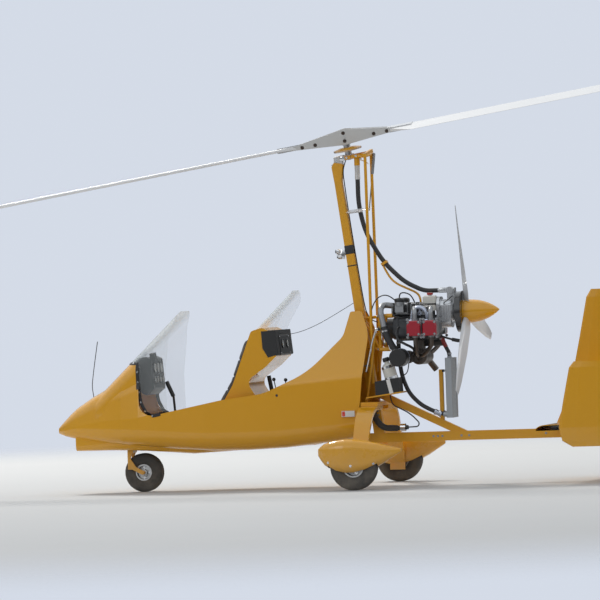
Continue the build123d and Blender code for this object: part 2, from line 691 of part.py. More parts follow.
# Gearbox, with its snout and the drive that the pre-rotator's hose leaves
gearbox_line = [(-88, CRANK_Z - 25, 70), (88, CRANK_Z - 25, 70), (88, GEARBOX_TOP, 60),
                (-88, GEARBOX_TOP, 60)]
gearbox_rear = [(y * 0.8, CRANK_Z + 100 + (z - CRANK_Z - 100) * 0.84, radius * 0.8)
                for y, z, radius in gearbox_line]
gearbox = along(gearbox_line, GEARBOX_FRONT, GEARBOX_FRONT + 22) + along(
    gearbox_rear, GEARBOX_FRONT + 22, GEARBOX_BACK - 38)
snout_line = [(0, 0, 0), (78, 0, 0), (72, 14, 8), (48, 38, 10), (0, 38, 0)]
gearbox = gearbox + Pos(GEARBOX_BACK - 38, 0, PROP_Z) * Rot(0, 90, 0) * turned(
    snout_line, Pos(0, 0, 0))
drive_box = block((765, GEARBOX_BACK - 12), (-35, 35), (GEARBOX_TOP - 60, GEARBOX_TOP + 66))
drive_box = fillet(drive_box.edges().filter_by(Axis.X), 12)
drive_box = drive_box + rod((790, 0, HOSE_END), (790, -58, HOSE_END), 26)
hose_socket = rod((HOSE_BACK, 0, HOSE_END), (770, 0, HOSE_END), HOSE_R + 1)
parts["gearbox"] = gearbox + drive_box + hose_socket

# Intake: plenum, runners to the heads, throttle bodies and the elbow of its hose
plenum = fillet(block((330, 560), (-60, 60), (CRANK_Z + 97, 1400)).edges().filter_by(Axis.X), 25)
throttles = block((372, 436), (-120, 120), (1330, 1385))
for side in (-1, 1):
    throttles = throttles + turned(
        [(0, 1380, 0), (36, 1380, 0), (36, 1412, 8), (22, 1436, 12), (0, 1436, 0)],
        Pos(404, side * 98, 0))
elbow = pipe([(345, -40, 1380), (268, -70, 1392), (262, -160, 1352), (293, -172, 1221)], 23)
runners = []
for side, x in cylinder_rows:
    start = (min(x, 545) - 30, side * 45, 1345)
    knee = (x - 15 if x > 600 else x - 25, side * 170, 1362)
    runners.append(pipe([start, knee, (x, side * 262, 1340), (x, side * 262, CRANK_Z + 72)], 17))
intake = plenum + throttles + elbow + runners[0] + runners[1] + runners[2] + runners[3]
parts["intake"] = intake - case

# Turbocharger, exhaust pipes and silencer
silencer_line = [(0, 0, 0), (40, 0, 0), (SILENCER_R, 14, 14), (SILENCER_R, 276, 14), (40, 290, 0),
                 (0, 290, 0)]
silencer = Pos(SILENCER_X, -60, SILENCER_Z) * Rot(-90, 0, 0) * turned(silencer_line, Pos(0, 0, 0))
turbo = rod((455, -128, SILENCER_Z), (455, -60, SILENCER_Z), 50)
turbo = turbo + block((455, SILENCER_X), (-100, -70), (SILENCER_Z - 40, SILENCER_Z + 10))
hanger = block((500, 560), (-30, 30), (SILENCER_Z + 50, CRANK_Z - 85))
pipes = []
for side, x in cylinder_rows:
    pipes.append(pipe([(x, side * 262, CRANK_Z - 72), (x, side * 262, 1070),
                       ((x + SILENCER_X) / 2, side * 165, SILENCER_Z + 18),
                       (SILENCER_X, side * 45, SILENCER_Z)], 17))
tail_pipe = pipe([(SILENCER_X, 200, SILENCER_Z), (SILENCER_X, 262, SILENCER_Z - 20),
                  (SILENCER_X + 60, 300, SILENCER_Z - 110)], 24)
exhaust = silencer + turbo + hanger + pipes[0] + pipes[1] + pipes[2] + pipes[3] + tail_pipe
parts["silencer"] = exhaust - case - starter

# Air filter on the turbocharger, and the hose from it to the intake's elbow
filter_line = [(0, 0, 0), (60, 0, 0), (68, 10, 8), (68, 118, 0), (60, 118, 0), (60, 128, 0),
               (68, 128, 0), (68, 142, 6), (0, 142, 0)]
air_filter = Pos(431, -215, SILENCER_Z) * Rot(90, 0, 0) * turned(filter_line, Pos(0, 0, 0))
air_filter = air_filter + rod((431, -216, SILENCER_Z), (431, -128, SILENCER_Z), 30)
parts["air_filter"] = air_filter
boost_hose = pipe([(293, -172, 1221), (306, -178, 1165), (352, -185, 1075), (408, -186, 1000)], 27)
parts["boost_hose"] = boost_hose - air_filter - parts["intake"]

# Coolant bottle with its cap
bottle = block((BOTTLE_X - 54, BOTTLE_X + 54), (BOTTLE_Y - 38, BOTTLE_Y + 38), (BOTTLE_Z, 1450))
bottle = fillet(bottle.edges().filter_by(Axis.Z), 18)
bottle = chamfer(bottle.faces().sort_by(Axis.Z)[-1].edges(), 10)
bottle = bottle + rod((BOTTLE_X, BOTTLE_Y, 1450), (BOTTLE_X, BOTTLE_Y, 1456), 15)
parts["coolant_bottle"] = bottle + rod((BOTTLE_X, BOTTLE_Y, 1456), (BOTTLE_X, BOTTLE_Y, 1474), 22)

# Tray with the battery and the oil tank
tray_line = strip([(150, 683), (300, 703), (425, 720)], 10, 900)
tray = across(tray_line, -250, 60) - brace - mast_tube
parts["equipment_tray"] = tray
battery_line = [(226, 699, 0), (222, 806, 8), (410, 834, 8), (418, 725, 0)]
battery = across(battery_line, -250, -125) - tray
parts["battery"] = battery
tank_line = [(0, 0, 0), (50, 0, 0), (50, 128, 10), (38, 150, 14), (18, 160, 0), (18, 176, 0),
             (0, 176, 0)]
tank_way = Plane(Vector(352, -185, 790), z_dir=Vector(-47, 0, 170)).location
tank = tank_way * turned(tank_line, Pos(0, 0, 0))
parts["oil_tank"] = tank - battery - boost_hose

# Radiator: core between its two tanks, stays and hoses
core = block((RADIATOR_X + 7, RADIATOR_X + 45), (-80, 80), (520, 960))
tanks = block((RADIATOR_X, RADIATOR_X + 52), (78, 100), (510, 970))
tanks = fillet(tanks.edges().filter_by(Axis.Z), 7)
frame_bars = block((RADIATOR_X + 3, RADIATOR_X + 49), (-80, 80), (510, 521)) + block(
    (RADIATOR_X + 3, RADIATOR_X + 49), (-80, 80), (959, 970))
stays = block((706, RADIATOR_X + 10), (-12, 12), (862, 878)) + block(
    (706, RADIATOR_X + 10), (-12, 12), (545, 561))
necks = rod((RADIATOR_X + 30, -60, 965), (RADIATOR_X + 30, -60, 984), 17) + rod(
    (RADIATOR_X - 26, -82, 540), (RADIATOR_X + 5, -82, 535), 19)
radiator = core + tanks + mirrored(tanks) + frame_bars + stays + necks
parts["radiator"] = radiator
lower_hose = pipe([(385, -90, 1120), (385, -90, 970), (405, -90, 830), (456, -90, 705),
                   (545, -90, 615), (640, -88, 565), (RADIATOR_X - 26, -82, 540)], 16)
upper_hose = pipe([(716, -60, 1135), (744, -60, 1060), (770, -60, 1012), (774, -60, 984)], 15)
case_side = case + gearbox
parts["coolant_hoses"] = (lower_hose - radiator - case_side) + (upper_hose - radiator - case_side)

# Brake pipe and its cylinder low beside the keel
brake = pipe([(150, -58, 600), (168, -58, 530), (230, -58, 444), (350, -58, 440)], 24)
brake = brake + rod((350, -58, 440), (432, -58, 446), 17)
line = pipe([(296, -58, 704), (310, -58, 622), (451, -58, 552), (545, -58, 450), (432, -58, 446)], 5)
parts["brake_cylinder"] = (brake + (line - tray)) - parts["mast"]

# Propeller
shaft_gap = 0.3
plate_low = GEARBOX_BACK + shaft_gap - PROP_X
hub_front = rod((0, 0, plate_low + 4), (0, 0, -30), DRIVE_PLATE_R)
shaft = rod((0, 0, plate_low - 24), (0, 0, plate_low + 8), SHAFT_R)
parts["drive_plate"] = prop(hub_front + shaft)
parts["gearbox"] = parts["gearbox"] - prop(
    rod((0, 0, plate_low - 26), (0, 0, plate_low + 8), SHAFT_R + RUN))
spinner_line = [(0, -30, 0), (SPINNER_R, -30, 0), (SPINNER_R, 60, 200), (40, 225, 30), (0, 239, 0)]
spinner = turned(spinner_line, Pos(0, 0, 0))
blade_tables = [(60, 60, 34, 40), (160, 100, 26, 34), (400, 118, 16, 24), (700, 96, 10, 16),
                (PROP_R - 4, 58, 6, 12)]
sections = []
for radius, chord, thick, angle in blade_tables:
    points = [(-chord * 0.5, 0), (-chord * 0.2, thick * 0.6), (chord * 0.5, 1.5), (chord * 0.5, -1.5),
              (-chord * 0.2, -thick * 0.4)]
    radii = [thick * 0.2, chord * 0.35, 0, 0, chord * 0.35]
    sections.append(rounded(points, radii, lambda a, b: Vector(
        radius, a * cos(radians(angle)) - b * sin(radians(angle)),
        a * sin(radians(angle)) + b * cos(radians(angle)))))
blade_solid = Solid.make_loft(sections, True)
screws = []
for index in range(PROP_BLADES):
    # 180 degrees about the shaft points the first blade up
    screws.append(Rot(0, 0, 180 + PROP_CLOCK + index * 360 / PROP_BLADES) * blade_solid)
hub = spinner
for screw in screws:
    hub = hub - screw
parts["prop_hub"] = prop(hub)
blades = [prop(screw) for screw in screws]
parts["prop_blades"] = Compound(blades)

# Main undercarriage
leg_line = strip([(90, 605), (430, 605), (735, 135)], 30, 300)
leg = along(leg_line, BEAM_FRONT - 2, BEAM_BACK)
taper = across([(BEAM_FRONT, 660, 0), (BEAM_BACK, 660, 0), (BEAM_BACK, 595, 0), (222, 100, 0),
                (118, 100, 0), (BEAM_FRONT, 595, 0)], 0, 800)
leg = leg & taper & block((0, 400), (0, FOOT_Y - 8), (100, 700))
foot = block((MAIN_X - 60, MAIN_X + 60), (FOOT_Y - 10, FOOT_Y), (95, 300))
leg = leg + foot
parts["main_legs"] = leg + mirrored(leg)
axle = rod((MAIN_X, FOOT_Y, MAIN_TYRE_R), (MAIN_X, 856, MAIN_TYRE_R), AXLE_R)
axle = axle + rod((MAIN_X, FOOT_Y, MAIN_TYRE_R), (MAIN_X, TRACK_HALF - 42, MAIN_TYRE_R), 22)
axle = axle + rod((MAIN_X, TRACK_HALF + 45.3, MAIN_TYRE_R), (MAIN_X, 858, MAIN_TYRE_R), 20)
parts["main_axles"] = axle + mirrored(axle)

spat_rows = [
    (-107, 16, 262, 318, 12),
    (-60, 58, 196, 356, 50),
    (40, 86, 140, 383, 66),
    (170, 92, 126, 387, 70),
    (350, 74, 176, 356, 62),
    (470, 32, 246, 322, 28),
    (533, 9, 286, 309, 7),
]
def spat_form(inset):
    rows = faired(spat_rows)
    form = Solid.make_loft([box_ring(row, inset) for row in rows], True)
    side = FOOT_Y - TRACK_HALF + inset
    return form & block((-200 + inset, 600 - inset), (side, 200), (50, 450))
spat = spat_form(0) - spat_form(4)
spat = spat - block((-25, 357), (-60, 60), (50, 200))
spat = spat - rod((MAIN_X, -150, MAIN_TYRE_R), (MAIN_X, 0, MAIN_TYRE_R), 52)
spat = Pos(0, TRACK_HALF, 0) * spat
parts["spats"] = spat + mirrored(spat)

# Wheels
def tyre_and_rim(radius, width, rim_radius, bore, hub_half):
    """Tyre and rim, drawn about the Z axis and centred on the origin."""
    half = width / 2
    tyre_line = [
        (rim_radius, -half * 0.72, 0),
        (rim_radius + (radius - rim_radius) * 0.5, -half, radius * 0.16),
        (radius, -half * 0.62, radius * 0.14),
        (radius, half * 0.62, radius * 0.14),
        (rim_radius + (radius - rim_radius) * 0.5, half, radius * 0.16),
        (rim_radius, half * 0.72, 0),
    ]
    rim_line = [
        (bore, -hub_half, 0),
        (bore + 16, -hub_half, 0),
        (bore + 16, -6, 4),
        (rim_radius - 14, -6, 4),
        (rim_radius - 10, -half * 0.72, 0),
        (rim_radius, -half * 0.72, 0),
        (rim_radius, half * 0.72, 0),
        (rim_radius - 10, half * 0.72, 0),
        (rim_radius - 14, 6, 4),
        (bore + 16, 6, 4),
        (bore + 16, hub_half, 0),
        (bore, hub_half, 0),
    ]
    return turned(tyre_line, Pos(0, 0, 0)), turned(rim_line, Pos(0, 0, 0))

tyre, rim = tyre_and_rim(MAIN_TYRE_R, MAIN_TYRE_W, MAIN_RIM_R, AXLE_R + RUN, 41.7)
for name, y in (("left", -TRACK_HALF), ("right", TRACK_HALF)):
    place = Pos(MAIN_X, y, MAIN_TYRE_R) * Rot(90, 0, 0)
    parts[f"main_tyre_{name}"] = place * tyre
    parts[f"main_rim_{name}"] = place * rim
tyre, rim = tyre_and_rim(NOSE_TYRE_R, NOSE_TYRE_W, NOSE_RIM_R, 10 + RUN, 40)
place = Pos(NOSE_X, 0, NOSE_TYRE_R) * Rot(90, 0, 0)
parts["nose_tyre"] = place * tyre
parts["nose_rim"] = place * rim

# Nose undercarriage
plate = rod((STEER_X, 0, 300), (STEER_X, 0, 352), STEER_WELL_R + 40) & cavity
plate = plate - rod((STEER_X, 0, 250), (STEER_X, 0, 342), STEER_WELL_R)
steering_tube = plate + rod((STEER_X, 0, 344), (STEER_X, 0, 620), 25)
parts["steering_tube"] = steering_tube - rod((STEER_X, 0, 200), (STEER_X, 0, 700), 16 + RUN)
crown = block((STEER_X - 22, STEER_X + 22), (-62, 62), (306, 328))
stem = rod((STEER_X, 0, 320), (STEER_X, 0, 612), 16) + rod((STEER_X, 0, 320), (STEER_X, 0, 341.7), 21)
fork_leg_line = [(STEER_X - 22, 328, 0), (STEER_X + 22, 328, 0), (STEER_X - 2, 262, 40),
                 (STEER_X + 44, 194, 30), (NOSE_X, NOSE_TYRE_R + 17, 0),
                 (NOSE_X + 19, NOSE_TYRE_R, 15), (NOSE_X, NOSE_TYRE_R - 19, 15),
                 (STEER_X + 12, 176, 10), (STEER_X - 22, 176, 4)]
fork_leg = across(fork_leg_line, 52, 62)
nose_axle = rod((NOSE_X, -66, NOSE_TYRE_R), (NOSE_X, 66, NOSE_TYRE_R), 10)
spacer = rod((NOSE_X, 40.3, NOSE_TYRE_R), (NOSE_X, 54, NOSE_TYRE_R), 15)
parts["nose_fork"] = crown + stem + fork_leg + mirrored(fork_leg) + nose_axle + spacer + mirrored(
    spacer)

# Tail
stabiliser_line = [(1560, KEEL_HIGH + 12, 8), (1600, KEEL_HIGH + 46, 90), (1760, KEEL_HIGH + 52, 600),
                   (2080, KEEL_HIGH + 6, 0), (2080, KEEL_HIGH, 0), (1572, KEEL_HIGH, 6)]
stabiliser = across(stabiliser_line, -FIN_Y, FIN_Y)
stabiliser_core = [(1568, KEEL_HIGH + 14, 6), (1602, KEEL_HIGH + 41, 85), (1760, KEEL_HIGH + 47, 600),
                   (2000, KEEL_HIGH + 13, 0), (2000, KEEL_HIGH + TAIL_WALL, 0),
                   (1576, KEEL_HIGH + TAIL_WALL, 4)]
parts["stabiliser"] = stabiliser - across(stabiliser_core, -FIN_Y - 1, FIN_Y + 1)
end_fin_rows = [(285, 1850, 2098, 10), (330, 1772, 2130, 22), (KEEL_HIGH + 25, 1748, 2136, 30),
                (640, 1790, 2128, 28), (880, 1842, 2108, 22), (925, 1880, 2085, 10)]
end_fin = Pos(0, FIN_Y + 15, 0) * upright_fin(end_fin_rows)
parts["end_fins"] = (end_fin + mirrored(end_fin)) - stabiliser

# Centre fin with the hinge lugs of the rudder
centre_rows = [(KEEL_HIGH + 2, 1560, HINGE_X - 25, 34), (700, 1690, HINGE_X - 25, 34),
               (1100, 1780, HINGE_X - 25, 30), (1400, 1842, HINGE_X - 25, 24),
               (1460, 1880, HINGE_X - 25, 12)]
centre_fin = upright_fin(centre_rows) - stabiliser
for low, high in LUG_HEIGHTS:
    hinge_lug = block((HINGE_X - 40, HINGE_X), (-LUG_R, LUG_R), (low, high)) + rod(
        (HINGE_X, 0, low), (HINGE_X, 0, high), LUG_R)
    centre_fin = centre_fin + hinge_lug
parts["centre_fin"] = centre_fin - rod((HINGE_X, 0, 300), (HINGE_X, 0, 1600), PINTLE_R + RUN)

# Rudder: round nose on the hinge line, notched at the lugs, and its trim tab's edge
rudder_rows = [(480, HINGE_X, HINGE_X + 225, 26), (760, HINGE_X, HINGE_X + 262, 26),
               (1150, HINGE_X, HINGE_X + 225, 26), (1440, HINGE_X, HINGE_X + 180, 22)]
rudder_half = [rounded([(HINGE_X, -thick / 2), (HINGE_X + 60, -thick / 2), (trail, -2), (trail, 2),
                        (HINGE_X + 60, thick / 2), (HINGE_X, thick / 2)], [0, 300, 0, 0, 300, 0],
                       lambda x, y: Vector(x, y, height))
               for height, lead, trail, thick in rudder_rows]
rudder = Solid.make_loft(rudder_half, True) + rod((HINGE_X, 0, 480), (HINGE_X, 0, 1440), 11)
for low, high in LUG_HEIGHTS:
    rudder = rudder - rod((HINGE_X, 0, low - 1), (HINGE_X, 0, high + 1), LUG_R + 9)
    rudder = rudder + rod((HINGE_X, 0, low - 5), (HINGE_X, 0, high + 5), PINTLE_R)
parts["rudder"] = rudder

# Lamps and aerial
lamp = rod((-10, 0, 1790), (-75, 0, 1795), 10)
mast_lamp = lamp + Pos(-75, 0, 1795) * Sphere(24) - mast_tube
side_lamp = block((-30, 70), (-330, -200), (545, 590)) - outer
side_lamp = side_lamp & block((-30, 70), (-318, -250), (545, 590))
parts["lamps"] = mast_lamp + side_lamp + mirrored(side_lamp)
whip = pipe([(-2078, 0, 735), (-2092, 0, 830), (-2068, 0, 990), (-2035, 0, 1178)], 3)
parts["aerial"] = whip - outer

if __name__ == "__main__":
    os.makedirs("parts", exist_ok=True)
    for name, shape in parts.items():
        export_step(shape, f"parts/{name}.step")
        print(name, len(shape.solids()), round(shape.volume / 1000))
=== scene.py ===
from math import cos, exp, pi, radians, sin

import bmesh
import bpy
from mathutils import Matrix, Vector
from mathutils.bvhtree import BVHTree


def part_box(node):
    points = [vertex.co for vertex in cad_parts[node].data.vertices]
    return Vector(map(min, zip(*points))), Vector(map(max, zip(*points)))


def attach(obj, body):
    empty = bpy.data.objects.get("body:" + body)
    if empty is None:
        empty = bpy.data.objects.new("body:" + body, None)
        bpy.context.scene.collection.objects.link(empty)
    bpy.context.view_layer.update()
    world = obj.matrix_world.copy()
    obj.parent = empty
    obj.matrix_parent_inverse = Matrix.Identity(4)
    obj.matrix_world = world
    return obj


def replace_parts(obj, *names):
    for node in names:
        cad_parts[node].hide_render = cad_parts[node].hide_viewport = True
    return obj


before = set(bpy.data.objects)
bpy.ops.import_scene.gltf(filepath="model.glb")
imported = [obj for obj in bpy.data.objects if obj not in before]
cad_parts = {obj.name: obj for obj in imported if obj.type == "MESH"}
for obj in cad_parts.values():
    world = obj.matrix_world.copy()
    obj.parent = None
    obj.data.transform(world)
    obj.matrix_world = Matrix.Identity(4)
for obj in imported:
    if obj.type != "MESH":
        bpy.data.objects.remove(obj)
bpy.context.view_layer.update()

# A two-seat tandem gyrocopter, in metres: X runs aft, Y to starboard and Z up.

# Colours, linear
YELLOW = (0.80, 0.385, 0.010)
YELLOW_DEEP = (0.70, 0.335, 0.006)
BLADE_WHITE = (0.90, 0.905, 0.91)
HUB_GREY = (0.66, 0.655, 0.64)
SILVER = (0.66, 0.67, 0.69)
CAST_GREY = (0.34, 0.35, 0.365)
STEEL = (0.50, 0.50, 0.51)
BLACK = (0.018, 0.018, 0.019)
SOOT = (0.035, 0.035, 0.037)
COVER_RED = (0.42, 0.012, 0.03)
DUST = (0.36, 0.31, 0.25)
MILKY = (0.78, 0.77, 0.72)
RADIATOR_GREY = (0.40, 0.43, 0.46)

# The photograph's camera: where it stood, its bearing towards the tail, its roll and lens
CAMERA_PLACE = (10.117, -43.843, 1.669)
CAMERA_BEARING = radians(13.3)
CAMERA_ROLL = radians(-1.976)
CAMERA_LENS = 350.3
CAMERA_SHIFT = (-0.0311, -0.0486)

# Studio: what the lamps point at, the floor's radius, and where it starts to fade
LIT_MIDDLE = (0, 0, 1.2)
FLOOR_R = 15.0
FLOOR_FADE = 8.5
FLOOR_COLOUR = (0.60, 0.61, 0.615)
BACKGROUND = (0.66, 0.71, 0.80)

# Frames of the rotor head, of the propeller and of the pre-rotator's pinion
HEAD = (Matrix.Translation((0.002, -0.022, 2.693)) @ Matrix.Rotation(radians(-8.8), 4, "Y")
        @ Matrix.Rotation(radians(8.0), 4, "X"))
PROP = Matrix.Translation((0.917, 0.0, 1.320)) @ Matrix.Rotation(radians(88.3), 4, "Y")
PINION = Matrix.Translation((0.086, 0.0, 0.0))

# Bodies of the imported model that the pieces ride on
AIRFRAME, ROTOR, ROTOR_HUB, PROPELLER, NOSE_WHEEL = (
    "airframe", "rotor", "rotor_hub", "propeller", "nose_wheel")

# Kinds of socket of the node trees
INT, FLOAT, COLOUR, VECTOR = (
    "NodeSocketInt", "NodeSocketFloat", "NodeSocketColor", "NodeSocketVector")


def put(tree, kind, inputs=None, **settings):
    """Adds a node to a tree; an input is a value or another node's output."""
    node = tree.nodes.new(kind)
    for name, value in settings.items():
        setattr(node, name, value)
    for name, value in (inputs or {}).items():
        if isinstance(value, bpy.types.NodeSocket):
            tree.links.new(value, node.inputs[name])
        else:
            node.inputs[name].default_value = value
    return node


def sums(tree, operation, first, second=0.5, third=0.5):
    """Output of one Math node."""
    return put(tree, "ShaderNodeMath", {0: first, 1: second, 2: third}, operation=operation).outputs[0]


def ranged(tree, value, low, high, first=0.0, last=1.0, **settings):
    """Output of a Map Range node that takes low to first and high to last."""
    return put(tree, "ShaderNodeMapRange", {
        "Value": value, "From Min": low, "From Max": high, "To Min": first, "To Max": last},
        **settings).outputs[0]


def mixed(tree, share, first, second):
    """Output of a colour mix, first at a share of 0 and second at 1."""
    return put(tree, "ShaderNodeMix", {0: share, 6: first, 7: second}, data_type="RGBA").outputs[2]


def noise(tree, place, scale, detail, roughness=0.5):
    """Output of a noise texture."""
    return put(tree, "ShaderNodeTexNoise", {
        "Vector": place, "Scale": scale, "Detail": detail, "Roughness": roughness}).outputs[0]


def new_group(name, inputs, outputs):
    """Empty shader group: the tree, what it is given and its output node."""
    group = bpy.data.node_groups.new(name, "ShaderNodeTree")
    for label, socket, default in inputs:
        made = group.interface.new_socket(label, in_out="INPUT", socket_type=socket)
        if default is not None:
            made.default_value = default
    for label, socket in outputs:
        group.interface.new_socket(label, in_out="OUTPUT", socket_type=socket)
    given = group.nodes.new("NodeGroupInput").outputs
    return group, given, group.nodes.new("NodeGroupOutput")


def gives(group, result, **outputs):
    """Joins a group's results to its outputs by their names, and gives the group."""
    for name, socket in outputs.items():
        group.links.new(socket, result.inputs[name])
    return group


def drift_group():
    """Slow change of tone over a surface, as paint and mouldings have."""
    group, given, result = new_group("Tone drift", [
        ("Position", VECTOR, None), ("Colour", COLOUR, (1, 1, 1, 1)), ("Deep", COLOUR, (0, 0, 0, 1)),
        ("Scale", FLOAT, 1.5), ("Amount", FLOAT, 0.2)], [("Colour", COLOUR)])
    patches = noise(group, given["Position"], given["Scale"], 3.0)
    share = sums(group, "MULTIPLY", patches, given["Amount"])
    return gives(group, result, Colour=mixed(group, share, given["Colour"], given["Deep"]))


def dust_group():
    """Road dust that gathers low down, as a mask in patches."""
    group, given, result = new_group("Road dust", [
        ("Position", VECTOR, None), ("Colour", COLOUR, (1, 1, 1, 1)),
        ("Dust", COLOUR, (0.3, 0.3, 0.3, 1)), ("Top", FLOAT, 0.5), ("Amount", FLOAT, 0.3)],
        [("Colour", COLOUR), ("Mask", FLOAT)])
    height = put(group, "ShaderNodeSeparateXYZ", {0: given["Position"]}).outputs["Z"]
    low = ranged(group, height, given["Top"], 0.0, interpolation_type="SMOOTHSTEP")
    patches = ranged(group, noise(group, given["Position"], 9.0, 6.0, 0.65), 0.35, 0.75, 0.25, 1.0)
    mask = sums(group, "MULTIPLY", sums(group, "MULTIPLY", low, patches), given["Amount"])
    return gives(group, result, Mask=mask,
                 Colour=mixed(group, mask, given["Colour"], given["Dust"]))


def gloss_group():
    """Roughness that varies in small patches, with a fine height for the bump."""
    group, given, result = new_group("Uneven gloss", [
        ("Position", VECTOR, None), ("Roughness", FLOAT, 0.3), ("Spread", FLOAT, 0.1),
        ("Scale", FLOAT, 40.0), ("Dust", FLOAT, 0.0)], [("Roughness", FLOAT), ("Height", FLOAT)])
    patches = noise(group, given["Position"], given["Scale"], 4.0, 0.6)
    around = sums(group, "SUBTRACT", patches, 0.5)
    spread = sums(group, "MULTIPLY_ADD", around, given["Spread"], given["Roughness"])
    dusty = sums(group, "MULTIPLY_ADD", given["Dust"], 0.5, spread)
    return gives(group, result, Roughness=dusty, Height=patches)


def wear_group():
    """Brighter or barer edges where a part is rubbed, from the bend of the surface."""
    group, given, result = new_group("Edge wear", [
        ("Position", VECTOR, None), ("Colour", COLOUR, (1, 1, 1, 1)),
        ("Bare", COLOUR, (0.6, 0.6, 0.6, 1)), ("Width", FLOAT, 0.002), ("Amount", FLOAT, 0.5)],
        [("Colour", COLOUR)])
    soft = put(group, "ShaderNodeBevel", {"Radius": given["Width"]}, samples=3)
    sharp = put(group, "ShaderNodeNewGeometry")
    match = put(group, "ShaderNodeVectorMath", {0: soft.outputs[0], 1: sharp.outputs["Normal"]},
                operation="DOT_PRODUCT")
    edge = ranged(group, match.outputs["Value"], 0.995, 0.85)
    broken = ranged(group, noise(group, given["Position"], 60.0, 4.0), 0.4, 0.6, 0.2, 1.0)
    mask = sums(group, "MULTIPLY", sums(group, "MULTIPLY", edge, broken), given["Amount"])
    return gives(group, result, Colour=mixed(group, mask, given["Colour"], given["Bare"]))


def grain_group():
    """Fine lines along one axis, as brushed metal and extruded tube have."""
    group, given, result = new_group("Drawn grain", [
        ("Position", VECTOR, None), ("Stretch", VECTOR, (4.0, 160.0, 160.0)),
        ("Roughness", FLOAT, 0.3), ("Spread", FLOAT, 0.2)], [("Roughness", FLOAT), ("Height", FLOAT)])
    drawn = put(group, "ShaderNodeMapping", {"Vector": given["Position"], "Scale": given["Stretch"]})
    lines = noise(group, drawn.outputs[0], 3.0, 4.0)
    around = sums(group, "SUBTRACT", lines, 0.5)
    spread = sums(group, "MULTIPLY_ADD", around, given["Spread"], given["Roughness"])
    return gives(group, result, Roughness=spread, Height=lines)


def weave_group():
    """Crossing threads over object coordinates, as a colour and a height."""
    group, given, result = new_group("Weave", [
        ("Position", VECTOR, None), ("Threads", FLOAT, 900.0), ("Colour", COLOUR, (0.1, 0.1, 0.1, 1)),
        ("Deep", COLOUR, (0, 0, 0, 1))], [("Colour", COLOUR), ("Height", FLOAT)])
    threads = [put(group, "ShaderNodeTexWave", {
        "Vector": given["Position"], "Scale": given["Threads"], "Distortion": 1.5, "Detail": 2.0},
        bands_direction=axis).outputs[1] for axis in ("Y", "DIAGONAL")]
    height = sums(group, "MULTIPLY", *threads)
    return gives(group, result, Height=height,
                 Colour=mixed(group, height, given["Deep"], given["Colour"]))


DRIFT, ROAD_DUST, GLOSS, WEAR, GRAIN, WEAVE = (
    drift_group(), dust_group(), gloss_group(), wear_group(), grain_group(), weave_group())


def use(tree, group, inputs):
    """Places a shader group in a material with its own values."""
    return put(tree, "ShaderNodeGroup", inputs, node_tree=group)


def rgba(colour):
    """Colour with full alpha."""
    return (*colour, 1.0)


def tinted(colour, share):
    """Colour made darker or lighter."""
    return tuple(share * channel for channel in colour)


def material(name):
    """New material with its tree, its Principled shader and its object coordinates."""
    made = bpy.data.materials.new(name)
    made.use_nodes = True
    tree = made.node_tree
    shader = tree.nodes["Principled BSDF"]
    position = tree.nodes.new("ShaderNodeTexCoord").outputs["Object"]
    return made, tree, shader, position


def shade(tree, shader, colour, gloss, strength, depth, height):
    """Feeds a colour, a roughness and a bump of some height to the shader."""
    bumped = put(tree, "ShaderNodeBump", {"Strength": strength, "Distance": depth, "Height": height})
    tree.links.new(colour, shader.inputs["Base Color"])
    tree.links.new(gloss, shader.inputs["Roughness"])
    tree.links.new(bumped.outputs[0], shader.inputs["Normal"])


def surface(name, colour, roughness, deep=None, metallic=0.0, coat=0.0, drift=0.35, drift_scale=1.6,
            spread=0.08, gloss_scale=40.0, dust=0.25, dust_top=0.7, wear=0.0, bare=SILVER, bump=0.04,
            bump_depth=0.0004, stretch=None):
    """A painted, moulded or metal finish with drift, dust, uneven gloss and worn edges."""
    made, tree, shader, position = material(name)
    deep = deep or tinted(colour, 0.72)
    toned = use(tree, DRIFT, {"Position": position, "Colour": rgba(colour), "Deep": rgba(deep),
                              "Scale": drift_scale, "Amount": drift}).outputs["Colour"]
    if wear:
        toned = use(tree, WEAR, {"Position": position, "Colour": toned, "Bare": rgba(bare),
                                 "Amount": wear}).outputs["Colour"]
    dusty = use(tree, ROAD_DUST, {"Position": position, "Colour": toned, "Dust": rgba(DUST),
                                  "Top": dust_top, "Amount": dust})
    if stretch:
        gloss = use(tree, GRAIN, {"Position": position, "Stretch": stretch, "Roughness": roughness,
                                  "Spread": spread})
    else:
        gloss = use(tree, GLOSS, {"Position": position, "Roughness": roughness, "Spread": spread,
                                  "Scale": gloss_scale, "Dust": dusty.outputs["Mask"]})
    shade(tree, shader, dusty.outputs["Colour"], gloss.outputs["Roughness"], bump, bump_depth,
          gloss.outputs["Height"])
    shader.inputs["Metallic"].default_value = metallic
    shader.inputs["Coat Weight"].default_value = coat
    shader.inputs["Coat Roughness"].default_value = 0.04
    return made


def clear_sheet(name, tint, alpha, edge):
    """Thin clear plastic: see-through face on; at a grazing angle its pale tint turns nearly opaque, a
    painted reflection along the rims.
    """
    made, tree, shader, position = material(name)
    grazing_reflection_share = put(tree, "ShaderNodeLayerWeight", {"Blend": 0.32}).outputs["Facing"]
    smear = use(tree, GLOSS, {"Position": position, "Roughness": 0.05, "Spread": 0.06, "Scale": 14.0})
    toned = use(tree, DRIFT, {"Position": position, "Colour": rgba(tint),
                              "Deep": rgba(tinted(tint, 0.8)), "Scale": 3.0, "Amount": 0.3})
    # Painted reflection: the pale tint's alpha rises from alpha face on to edge at a grazing angle
    tree.links.new(ranged(tree, grazing_reflection_share, 0.25, 1.0, alpha, edge), shader.inputs["Alpha"])
    tree.links.new(toned.outputs["Colour"], shader.inputs["Base Color"])
    tree.links.new(smear.outputs["Roughness"], shader.inputs["Roughness"])
    shader.inputs["IOR"].default_value = 1.58
    return made


